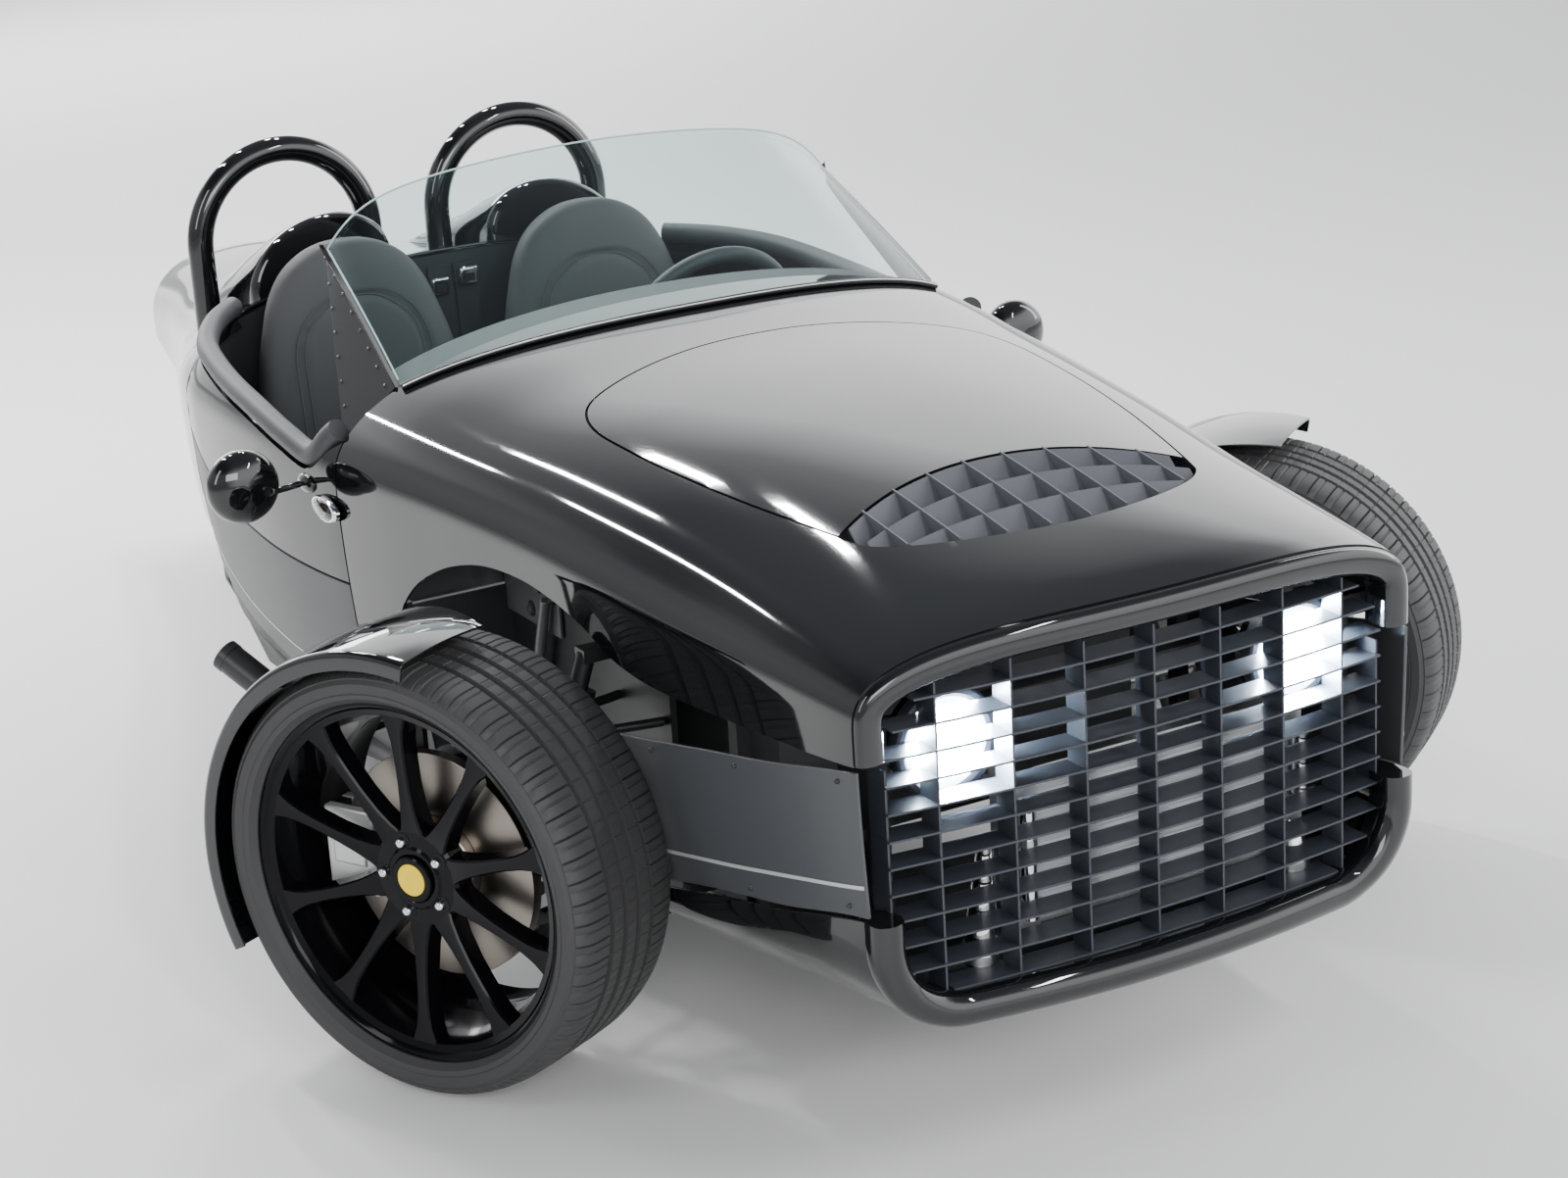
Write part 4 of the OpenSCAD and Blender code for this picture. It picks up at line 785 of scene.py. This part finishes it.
screen_vs = np.sin(span(-pi / 2, pi / 2, 81))
skin("screen_glass", screen_pt, span(0, 1, 20), screen_vs, 6, GLASS, bevel=1.0, node="windscreen")
tube("screen_gasket", [screen_pt(0, s) + np.array([0, 2, -1]) for s in span(-1, 1, 80)], 5.2, SEAL)


def post_pt(u, v):
    a = screen_pt(u, 1.0) + np.array([6, 14, -2])
    b = np.array([558 - 96 * u, 652 + 244 * u, 742 + 264 * u])
    return a + (b - a) * v


both("screen_post", post_pt, span(0, 1, 12), span(0, 1, 5), 12, POST, bevel=1.5, node="screen_posts")


# Tyres
def tyre(name, d, w, rim_d, place, body, node, pitches=64):
    r, q, h = d / 2, rim_d / 2, w / 2
    o = h - 16
    half = [(q - 14.4, o - 36), (q - 11.3, o - 12.8), (q + 0.7, o - 8.6), (q + 0.8, o + 2), (q + 5, o + 7),
            (q + 9, h - 4), (q + 16, h - 1.5), (q + 17, h - 2.4), (q + 19, h - 1), ((q + r) / 2 + 4, h),
            (r - 20, h - 3), (r - 18, h - 4.4), (r - 16, h - 4), (r - 11, h - 9), (r - 6, h - 17),
            (r - 3.4, h - 26), (r - 1.6, h - 38)]
    x_edge = h - 38
    tread = []
    for share, wide in ((0.62, 5), (0.20, 6)):
        c = x_edge * share
        tread += [(r - 0.9, c + wide), (r - 7, c + wide - 1.5), (r - 7, c - wide + 1.5), (r - 0.5, c - wide)]
    outer = half + tread
    profile = [(x, rr) for rr, x in outer] + [(-x, rr) for rr, x in reversed(outer)]
    shoulder = {j for j, (x, rr) in enumerate(profile) if abs(x) > x_edge * 0.66 and rr > r - 12}
    inner_ribs = {j for j, (x, rr) in enumerate(profile) if abs(x) <= x_edge * 0.66 and rr > r - 2}
    angles, level = [], []
    for k in range(pitches):
        for f, on in ((0.0, 1), (0.06, 0), (0.52, 0), (0.58, 0.45), (0.62, 0.45), (0.68, 0), (0.94, 0)):
            angles.append(2 * pi * (k + f) / pitches)
            level.append(on)

    def cut(k, j):
        if j in shoulder:
            return 4.2 * level[k]
        return 1.2 * level[k] if j in inner_ribs else 0

    lathe(name, profile, RUBBER, place, body, wobble=(angles, cut), angle=30, node=node)


# Wheels: barrel, spokes, hub, nuts and a plain cap
def wheel(name, d, w, place, body, node):
    r = d / 2
    o = w / 2 - 16
    barrel = [(-o, r - 30), (-o, r), (-o + 8, r), (-o + 12, r - 12), (-o + 40, r - 16), (-20, r - 34),
              (20, r - 34), (o - 34, r - 14), (o - 12, r - 12), (o - 8, r), (o, r), (o + 0.5, r - 4),
              (o - 1, r - 7), (o - 6, r - 11), (o - 8, r - 16), (o - 10, r - 21), (o - 22, r - 24),
              (14, r - 40), (-16, r - 40), (-o + 20, r - 26)]
    hub = [(o - 58, 36), (o - 58, 74), (o - 30, 74), (o - 26, 70), (o - 25, 47), (o - 22, 43), (o - 22, 36)]
    parts = [lathe("barrel", barrel, WHEEL, place, body, n=144, angle=28),
             lathe("hub", hub, WHEEL, place, body, n=80, angle=28)]
    # station along the spoke, half width in front, half width behind, front face, back face
    spoke = [(58, 21, 24, o - 27, o - 54), (80, 15, 19, o - 23, o - 52), (105, 11, 15, o - 20, o - 48),
             (140, 8.5, 12.5, o - 17, o - 44), (175, 8, 12, o - 14.5, o - 42), (205, 9.5, 13.5, o - 12, o - 40),
             (225, 13, 17, o - 10.5, o - 38), (r - 20, 20, 24, o - 9, o - 36)]
    for k in range(SPOKES):
        a = 2 * pi * k / SPOKES
        pts = []
        for dist, wf, wb, xf, xb in spoke:
            ring = [(xf - 2.5, -wf - 1.5), (xf, -wf + 1), (xf - 0.8, 0), (xf, wf - 1), (xf - 2.5, wf + 1.5),
                    (xb, wb), (xb, -wb)]
            for x, t in ring:
                pts.append((x, dist * sin(a) + t * cos(a), dist * cos(a) - t * sin(a)))
        parts.append(mesh("spoke", pts, lid_faces(len(spoke), 7), WHEEL, body, place=place, angle=32))
    join(parts, name, node)
    cap = [(o - 24, 0.1), (o - 24, 34), (o - 17, 34), (o - 15.5, 32), (o - 15.5, 24.5), (o - 16.4, 24),
           (o - 16.4, 0.1)]
    lathe(name + "_cap_ring", cap, WHEEL, place, body, n=64, caps=True, angle=28)
    face = [(o - 16.6, 0.1), (o - 15.4, 0.1), (o - 15.2, 15), (o - 15.4, 23.2), (o - 16.6, 23.6)]
    lathe(name + "_cap_face", face, YELLOW, place, body, n=64, caps=True)
    # Near-black matte ring round the foot of each nut: painted shade for the recess it sits in.
    well = [(o - 26.2, 0.1), (o - 25, 11.5), (o - 24.4, 12.2), (o - 26.4, 13)]
    nut = [(o - 27, 7.5), (o - 20, 7.5), (o - 17, 6.4), (o - 15.4, 4), (o - 15, 0.1)]
    nuts, wells = [], []
    for k in range(BOLTS):
        a = 2 * pi * (k + 0.25) / BOLTS
        cy, cz = BOLT_R * sin(a), BOLT_R * cos(a)

        def off(p, cy=cy, cz=cz):
            return place(p + np.array([0, cy, cz]))
        wells.append(lathe(name + "_well_0", well, FLAT_BLACK_AND_SHADE, off, body, n=24, caps=True))
        nuts.append(lathe(name + "_nut_0", nut, CHROME, off, body, n=18, caps=True, angle=50))
    join(wells)
    join(nuts)


DISC_FACE = [(0.3, 78), (-0.4, 80), (-0.4, 164), (0.2, 165.4), (17.8, 165.4), (18.4, 164), (18.4, 78),
             (18, 74)]
DISC_BELL = [(0, 34.4), (0, 73), (34, 73), (37, 70), (37, 34.4)]
for s, word in SIDES.items():
    body, at = "wheel_" + word, wheel_place(s)
    tyre("front_tyre_" + word, 2 * FRONT_R, FRONT_W, RIM_D, at, body, "tyre_" + word)
    wheel("front_wheel_" + word, RIM_D, FRONT_W, at, body, "rim_" + word)
    lathe("disc_face_" + word, DISC_FACE, DISC, at, body, n=96, node="disc_" + word)
    lathe("disc_bell_" + word, DISC_BELL, DISC, at, body, n=72)

tyre("rear_tyre_tread", 2 * REAR_R, REAR_W, RIM_D, rear_place, "wheel_rear", "rear_tyre", pitches=66)
wheel("rear_wheel", RIM_D, REAR_W, rear_place, "wheel_rear", "rear_rim")


# Fenders with a rolled outer edge, and the calipers behind the spokes
def fender_pt(u, v):
    a = radians(-10 + 126 * u)
    inner = -20 - 40 * sin(radians(min(1, u / 0.22) * 90))
    outer = HUB_OFFSET + FRONT_W / 2 + 14
    if v < 0.78:
        x, d = inner + (outer - 9 - inner) * v / 0.78, 0
    elif v < 0.88:
        q = radians((v - 0.78) * 900)
        x, d = outer - 9 + 9 * sin(q), 9 * (1 - cos(q))
    else:
        x, d = outer, 9 + 17 * (v - 0.88) / 0.12
    r = FRONT_R + 26 + 6 * sin(pi * (x - inner) / (outer - inner)) - d
    return (x, r * sin(a), FRONT_R + r * cos(a))


fender_vs = np.concatenate([span(0, 0.78, 16), span(0.79, 0.88, 8), span(0.92, 1, 3)])
CALIPER = [((49.8, 102, 256), (66, 190, 384), 9), ((10.5, 102, 256), (27, 190, 384), 6),
           ((14, 171, 264), (63, 192, 376), 5), ((64, 118, 300), (69, 176, 340), 2.4)]
for s, word in SIDES.items():
    body, at = "knuckle_" + word, corner(s)
    skin("fender_skin_" + word, fender_pt, span(0, 1, 70), fender_vs, 4, GLOSS, body, place=at, bevel=0.8,
         node="fender_" + word)
    join([block("caliper", lo, hi, SILVER, body, place=at, bevel=soft) for lo, hi, soft in CALIPER],
         "caliper_" + word)

# Roll hoops
HOOP_Y, HOOP_Z, HOOP_R, HOOP_FOOT = 1680, 865, 166, 520
hoops = []
for x in (HOOP_X, -HOOP_X):
    arc = [(x + HOOP_R * cos(a), HOOP_Y, HOOP_Z + HOOP_R * sin(a)) for a in span(0, pi, 49)]
    near, far = ([(x + r, HOOP_Y, z) for z in (HOOP_FOOT, 700)] for r in (HOOP_R, -HOOP_R))
    hoops.append(tube("hoop", near + arc + far[::-1], 24, GLOSS, sides=32))
hoops.append(block("hoop_bar", (-398, HOOP_Y - 20, 480), (398, HOOP_Y + 20, 524), FRAME))
join(hoops, "hoop_tubes", "roll_hoops")


def turned(axis, c, way=1, sy=1.0, sz=1.0):
    """Placement of a turned piece at c along x or y; way is 1 or -1, sy and sz stretch it."""
    def place(p):
        a, b, z = way * p[..., 0], p[..., 1] * sy, p[..., 2] * sz
        return at_axle(np.stack([a, b, z] if axis == "x" else [b, a, z], -1) + np.array(c, float))
    return place


# Mirrors: domed heads on thin stalks, and the small lamps behind the seam
DOME = [(-14, 46), (-14.5, 49), (-11, 52), (-2, 53), (6, 51.5), (14, 47), (21, 39), (27, 27), (30.5, 14),
        (32, 0.1), (28, 0.1), (10, 40), (-10, 44)]
MIRROR_FACE = [(-12, 0.1), (-12, 45.5), (-10.5, 45.5), (-10.5, 0.1)]
MIRROR_FOOT = [(-3, 20), (1, 20), (5, 17), (8, 11), (10, 0.1), (-3, 0.1)]
STALK = [(706, 676, 696), (688, 680, 689), (660, 686, 688), (622, 690, 690)]
POD = [(-1, 17), (8, 17), (12, 14), (14.4, 8), (15, 0.1), (-1, 0.1)]
POD_RING = [(-1, 17), (-1, 21), (5, 21), (8, 19.4), (8.4, 17.2), (5, 16.6)]
POD_BEZEL = [(8, 9.5), (11, 10.5), (13.4, 10.2), (14, 9.2), (12, 8.8)]
shells, faces, pods, rings = [], [], [], []
for s in (1, -1):
    at = turned("y", (s * 716, 686, 704), -1, 1.1, 1.1)
    foot = turned("x", (s * body_x(690, 690), 690, 690), s, 1.5, 0.8)
    shells += [lathe("mirror_head", DOME, GLOSS, at, n=64, caps=True),
               tube("mirror_stalk", curve([mirror(p, s) for p in STALK], 30), 5.2, GLOSS, sides=14),
               lathe("mirror_foot", MIRROR_FOOT, GLOSS, foot, n=40, caps=True)]
    faces.append(lathe("mirror_glass_1", MIRROR_FACE, MIRROR, at, n=48, caps=True))
    at = turned("x", (s * (body_x(640, 668) + 1), 618, 664), s, 2.3, 0.95)
    pods.append(lathe("pod_1", POD, SMOKE, at, n=48, caps=True))
    rings += [lathe("pod_ring_1", POD_RING, CHROME, at, n=48), lathe("pod_bezel", POD_BEZEL, CHROME, at, n=40)]
join(shells, "mirror_shells", "mirrors")
join(faces)
join(pods, node="marker_lamps")
join(rings)

# Headlamps: bezel, rows of cells and a bright bar
LAMP_X, LAMP_Z, LED_Y = 280, 582, -638.2
BEZEL = [(-14, 71), (-14, 77), (5, 77), (8, 74), (8, 67), (5, 63), (1, 61), (1, 71)]
cells, glow, bars, bezels = [], [], [], []
for x in (LAMP_X, -LAMP_X):
    for dz, n in ((24, 3), (43, 2)):
        for z in (LAMP_Z + dz, LAMP_Z - dz):
            for cx in (x + (k + 0.5) * 18 for k in range(-n, n)):
                cells.append(block("cell", (cx - 7.2, LED_Y - 5, z - 7.6), (cx + 7.2, LED_Y, z + 7.6), LIT,
                                   bevel=1.6))
    glow.append(lathe("glow", [(-1, 0.1), (-1, 69), (1, 69), (1, 0.1)], LIT_SOFT,
                      turned("y", (x, -640, 586), -1), n=48, caps=True))
    front = Vector((x, -648 + AXLE_Y, 590)) * MM
    lamp("lamp_beam", front, front - Vector((0, 1, 0)), "DISK", 0.13, 22, "Z").color = (0.72, 0.86, 1.0)
    bars.append(block("bar", (x - 61, -644.5, LAMP_Z - 9), (x + 61, LED_Y, LAMP_Z + 9), LIT_BAR, bevel=3))
    bezels.append(lathe("bezel", BEZEL, GRILLE, turned("y", (x, -638, LAMP_Z), -1), n=72))
join(cells, "lamp_cells")
join(bars, "lamp_bars")
join(glow)
join(bezels, "lamp_bezels")

# Radiator: rows of fins, end tanks' pipes and their clamps
join([block("fin", (-129, -616.5, 284 + 8.2 * k), (269, -611.8, 287.4 + 8.2 * k), ALUMINIUM, bevel=0)
      for k in range(26)], "radiator_fins")
PIPES = [
    # x, low end, high end, lean
    (-240, 250, 425, 0.10), (276, 250, 335, 0.0), (-156, 300, 470, 0.0), (296, 350, 470, 0.0)]
pipes, clamps = [], []
for x, z0, z1, lean in PIPES:
    wide = z0 < 260
    cone = [(0, 27), (26, 27), (60, 22), (z1 - z0, 11)] if wide else [(0, 11), (z1 - z0, 11)]

    def stand(p, x=x, z0=z0, lean=lean):
        return at_axle(np.stack([x + p[..., 1] + lean * p[..., 0], -634 + p[..., 2], z0 + p[..., 0]], -1))
    pipes.append(lathe("pipe", [(0, 0.1)] + cone + [(z1 - z0, 0.1)], CHROME, stand, n=40, caps=True,
                       slot="aluminium"))
    r = 28.6 if wide else 12.6
    for z in ((8, 22) if wide else (24, 110)):
        clamps.append(lathe("clamp", [(z - 5, r - 2), (z - 5, r), (z + 5, r), (z + 5, r - 2)], STEEL, stand,
                            n=36))
    clamps.append(block("clamp_screw", (x + r - 3, -642, z0 + 18), (x + r + 7, -626, z0 + 26), STEEL,
                        bevel=1.5))
join(pipes, "radiator_pipes")
join(clamps, "pipe_clamps")

# Suspension plates seen through the wheel arches
PLATE_X = 402
plates, bolts, washers = [], [], []
for s in (1, -1):
    lo, hi = sorted((s * (PLATE_X - 5.8), s * PLATE_X))
    plates.append(block("arch_plate", (lo, 244, 506), (hi, 436, 622), PLATE, bevel=1.8))
    for y, z in ((375, 583), (307, 575), (256, 570), (340, 530)):
        at = turned("x", (s * PLATE_X, y, z), s)
        bolts.append(lathe("arch_bolt", [(0, 9), (4, 9), (6.5, 7), (7, 0.1), (0, 0.1)], STEEL, at, n=6,
                           caps=True, angle=20))
        washers.append(lathe("arch_washer", [(-0.2, 12.5), (1.2, 12.5), (1.6, 11.6), (1.6, 8)], FLAT_BLACK_AND_SHADE, at, n=28,
                             slot="frame_black"))
    rod = curve([(s * 414, 262, 566), (s * 416, 284, 500), (s * 418, 306, 430)], 16)
    plates.append(tube("arch_rod", rod, 8.5, PLATE, sides=14))
join(plates, "arch_plates")
join(bolts)
join(washers)


# Fine lines on the satin panels and along the glass
def band(name, line, half, lift, y0, y1, n):
    def f(u, v):
        y = y0 + (y1 - y0) * u
        z = smooth(line, y) + half * (1 - 2 * v)
        return (body_x(y, z), y, z)
    both(name, f, span(0, 1, n), np.array([0, 0.5, 1]), 0.7, STRIPE, sunk=-lift)


PANEL_LINE = [(-686, 436), (-668, 432), (-530, 402), (-390, 372), (-280, 351), (-178, 332)]
SILL_LINE = [(587, 366), (700, 361), (820, 360), (910, 362), (1080, 380), (1180, 408), (1262, 446)]
band("panel_stripe", PANEL_LINE, 2.6, 1.9, -684, -190, 50)
band("sill_stripe", SILL_LINE, 1.3, 0.9, 590, 1262, 60)
rim_line = [screen_pt(k, -1) for k in span(0.05, 1, 30)] + [screen_pt(1, q) for q in span(-1, 1, 90)[1:]]
rim_line += [screen_pt(k, 1) for k in span(1, 0.05, 30)[1:]]
tube("glass_rim", rim_line, 1.6, EDGE, sides=8)
tube("gasket_trim", [screen_pt(0, s) + np.array([0, -4.2, 2.0]) for s in span(-1, 1, 80)], 1.2, STRIPE, sides=8,
     slot="plastic_dark")

# Rivets on the posts, screws in the panels
BEAD = [(-3.2, 0.1), (-2.6, 2.0), (0, 3.4), (2.6, 2.0), (3.2, 0.1)]


def beads(name, places, look, size):
    join([lathe("bead", [(x * size, r * size) for x, r in BEAD], look, turned("x", c), n=12, caps=True,
                slot="plastic_dark") for c in places], name)


rivets = [mirror(post_pt(u, v), s) for u in span(0.06, 0.94, 8) for v in (0.12, 0.9) for s in (1, -1)]
beads("post_rivets", rivets, RIVET, 0.9)
screws = []
for y in (-650, -420, -215):
    for edge, inset in ((1, 14), (2, -14)):
        z = smooth(PANEL, y, edge) + inset
        screws += [(s * (body_x(y, z) + 1.5), y, z) for s in (1, -1)]
beads("panel_screws", screws, FRAME, 1.2)

# Exhaust
run = curve([(-400, 900, 101.6), (-402, 1000, 101.6), (-424, 1090, 101), (-460, 1170, 103), (-504, 1250, 148),
             (-560, 1340, 212)], 50)
way = run[-1] - run[-2]
way /= np.linalg.norm(way)
tube("exhaust_pipe", run, 28, EXHAUST, sides=32, node="exhaust")
tube("exhaust_lip", [run[-1] - way * 16, run[-1] + way], 29, EXHAUST, sides=40, bevel=1.0)
# Near-black disc on the capped pipe end: painted shade for the open bore.
tube("exhaust_bore", [run[-1] + way * 0.6, run[-1] + way * 1.5], 25.5, FLAT_BLACK_AND_SHADE, sides=40, slot="exhaust_steel")

# Tail lamp rings
join([lathe("tail_ring", [(-1, 36.4), (-1, 41), (8, 41), (11, 39), (9, 36.4)], CHROME,
            turned("y", (x, TAIL_END - 2.6, 562)), n=64) for x in (84, -84)], "tail_lamp_rings")


# Steering wheel
def hub_turned(p):
    return at_hub(np.stack([p[..., 1], p[..., 2], p[..., 0]], -1))


def circle(r):
    return [(r * cos(a), r * sin(a), 0) for a in span(0, 2 * pi, 96, endpoint=False)]


HELD = "steering_wheel"
pad = [(-14, 0.1), (-15.5, 20), (-14, 36), (-9, 42), (15, 42), (20, 37), (20.6, 0.1)]
grip = [tube("wheel_grip", circle(156), 14, VINYL, HELD, sides=24, closed=True, place=at_hub),
        lathe("wheel_pad", pad, VINYL, hub_turned, HELD, n=64, caps=True)]
for a in (0, pi, 1.5 * pi):
    def spoke_at(p, a=a):
        x = p[..., 0] * cos(a) - p[..., 1] * sin(a)
        y = p[..., 0] * sin(a) + p[..., 1] * cos(a)
        return at_hub(np.stack([x, y, p[..., 2]], -1))
    grip.append(block("wheel_spoke", (34, -15, -6), (148, 15, 6), VINYL, HELD, place=spoke_at, bevel=4))
join(grip, "wheel_rim_and_pad", HELD)
tube("wheel_seam", circle(142.4), 1.3, THREAD, HELD, sides=6, closed=True, place=at_hub, slot="trim_vinyl")

# Dashboard with its pad and two gauges
dash = skin("dash_pad", upper, span(541, 667, 14), span(-0.57, 0.57, 60), 112.4, VINYL, sunk=7.4, bevel=6,
            slot="plastic_dark")
join([dash, block("dash_bracket", (208, 600, 550), (288, 640, 800), PLASTIC)], node="dashboard")
gauges, dials = [], []
for x in (196, 300):
    at = turned("y", (x, 667, 842))
    gauges.append(lathe("gauge_ring", [(0, 36), (0, 41), (6, 41), (8, 39), (7, 36)], CHROME, at, n=48))
    dials.append(lathe("gauge_dial", [(0, 0.1), (0, 36.5), (3, 36.5), (3.4, 0.1)], FLAT_BLACK_AND_SHADE, at, n=48, caps=True,
                       slot="plastic_dark"))
join(gauges)
join(dials)

# Belts that hang on the bulkhead between the seats
join([block("strap", (x - 22, 1472.5, 600), (x + 22, 1475.4, 812), FABRIC, bevel=0.8,
            turn=Matrix.Rotation(radians(lean), 4, "Y")) for x, lean in ((-28, 2), (30, -2))], "belt_straps")
join([block("buckle", (x, 1459, z), (x + 36, 1472, z + 34), CHROME, bevel=4)
      for x, z in ((-46, 758), (12, 770))], "belt_buckles")
# Near-black plates on the buckles: painted shade for their slots.
join([block("buckle_slot", (x, 1457.6, z), (x + 20, 1459.4, z + 14), FLAT_BLACK_AND_SHADE, bevel=0.5, slot="trim_vinyl")
      for x, z in ((-38, 766), (20, 778))])

# Seats: one padded shell each, with a horseshoe seam, an arched lower panel and stitches
SEAT_ROWS = [
    # station, height, half width, half thickness, slope
    (850, 232, 176, 44, 84), (900, 236, 198, 58, 88), (1060, 224, 204, 60, 94), (1190, 220, 202, 60, 106),
    (1262, 248, 200, 60, 140), (1304, 340, 206, 54, 168), (1334, 500, 208, 50, 168), (1366, 680, 190, 46, 168),
    (1384, 780, 164, 44, 170), (1393, 832, 142, 41, 171), (1398, 868, 114, 36, 172), (1401, 892, 78, 28, 174),
    (1402, 904, 44, 18, 176), (1402, 908, 13, 8, 178),
]
seat_rows = curve(SEAT_ROWS, 150)


def power(v, e):
    return copysign(abs(v) ** e, v)


def seams(x, z, y):
    """Depth of the sewn channels at a place on the seat's face."""
    if y < 1230:
        away = min(abs(abs(x) - 132), abs(y - 905) * 2.0 + 40)
    elif z > 700:
        away = abs(hypot(x, (z - 700) * 1.05) - 122)
    else:
        away = abs(abs(x) - (122 + (700 - z) * 0.03))
    depth = 5.5 * exp(-(away / 4.5) ** 2)
    if y > 1250 and z < 620:
        arch = abs(hypot(x * 0.95, z - 430) - 148)
        depth = max(depth, 5.0 * exp(-(arch / 4.5) ** 2))
    return depth


def face_point(row, x, lift=0.0):
    y, z, hw, ht, lean = row
    c = min(0.999, (abs(x) / hw) ** (1 / 0.6))
    d = (ht * 0.985) * sqrt(1 - c * c) ** 0.7 + lift
    a = radians(lean)
    return (x, y + d * cos(a), z + d * sin(a))


def back_line(gap):
    """The back's horseshoe seam as (x, height) points, gap to either side of the channel."""
    up = [(122 + (700 - z) * 0.03 + gap, z) for z in span(330, 700, 30)]
    arch = [((122 + gap) * cos(q), 700 + (122 + gap) / 1.05 * sin(q)) for q in span(pi, 0, 40)[1:-1]]
    return [(-x, z) for x, z in up] + arch + up[::-1]


def seat(side, word):
    cx = side * SEAT_X
    pts = []
    n = 72
    for y, z, hw, ht, lean in seat_rows:
        a = radians(lean)
        for t in (2 * pi * k / n for k in range(n)):
            x = hw * 0.99 * power(cos(t), 0.6)
            d = ht * 0.97 * power(sin(t), 0.7)
            if sin(t) > 0.12:
                d -= seams(x, z + d * sin(a), y + d * cos(a))
                d += 4.0 * exp(-(x / 90) ** 2)
            pts.append((cx + x, y + d * cos(a), z + d * sin(a)))
    ob = mesh("seat_form_" + word, pts, lid_faces(len(seat_rows), n), SEAT, angle=60, node="seat_" + word)
    back = [r for r in seat_rows if r[1] > 300 and r[0] > 1280]
    threads = []
    for gap in (-8, 8):
        line = np.array([face_point(min(back, key=lambda r: abs(r[1] - z)), x, 1.2) for x, z in back_line(gap)])
        line[:, 0] += cx
        for _ in range(3):
            line[1:-1] = (line[:-2] + line[1:-1] * 2 + line[2:]) / 4
        threads.append(tube("thread", line, 0.9, THREAD, sides=6))
    join(threads, "seat_stitches_" + word)


seat(1, "left")
seat(-1, "right")
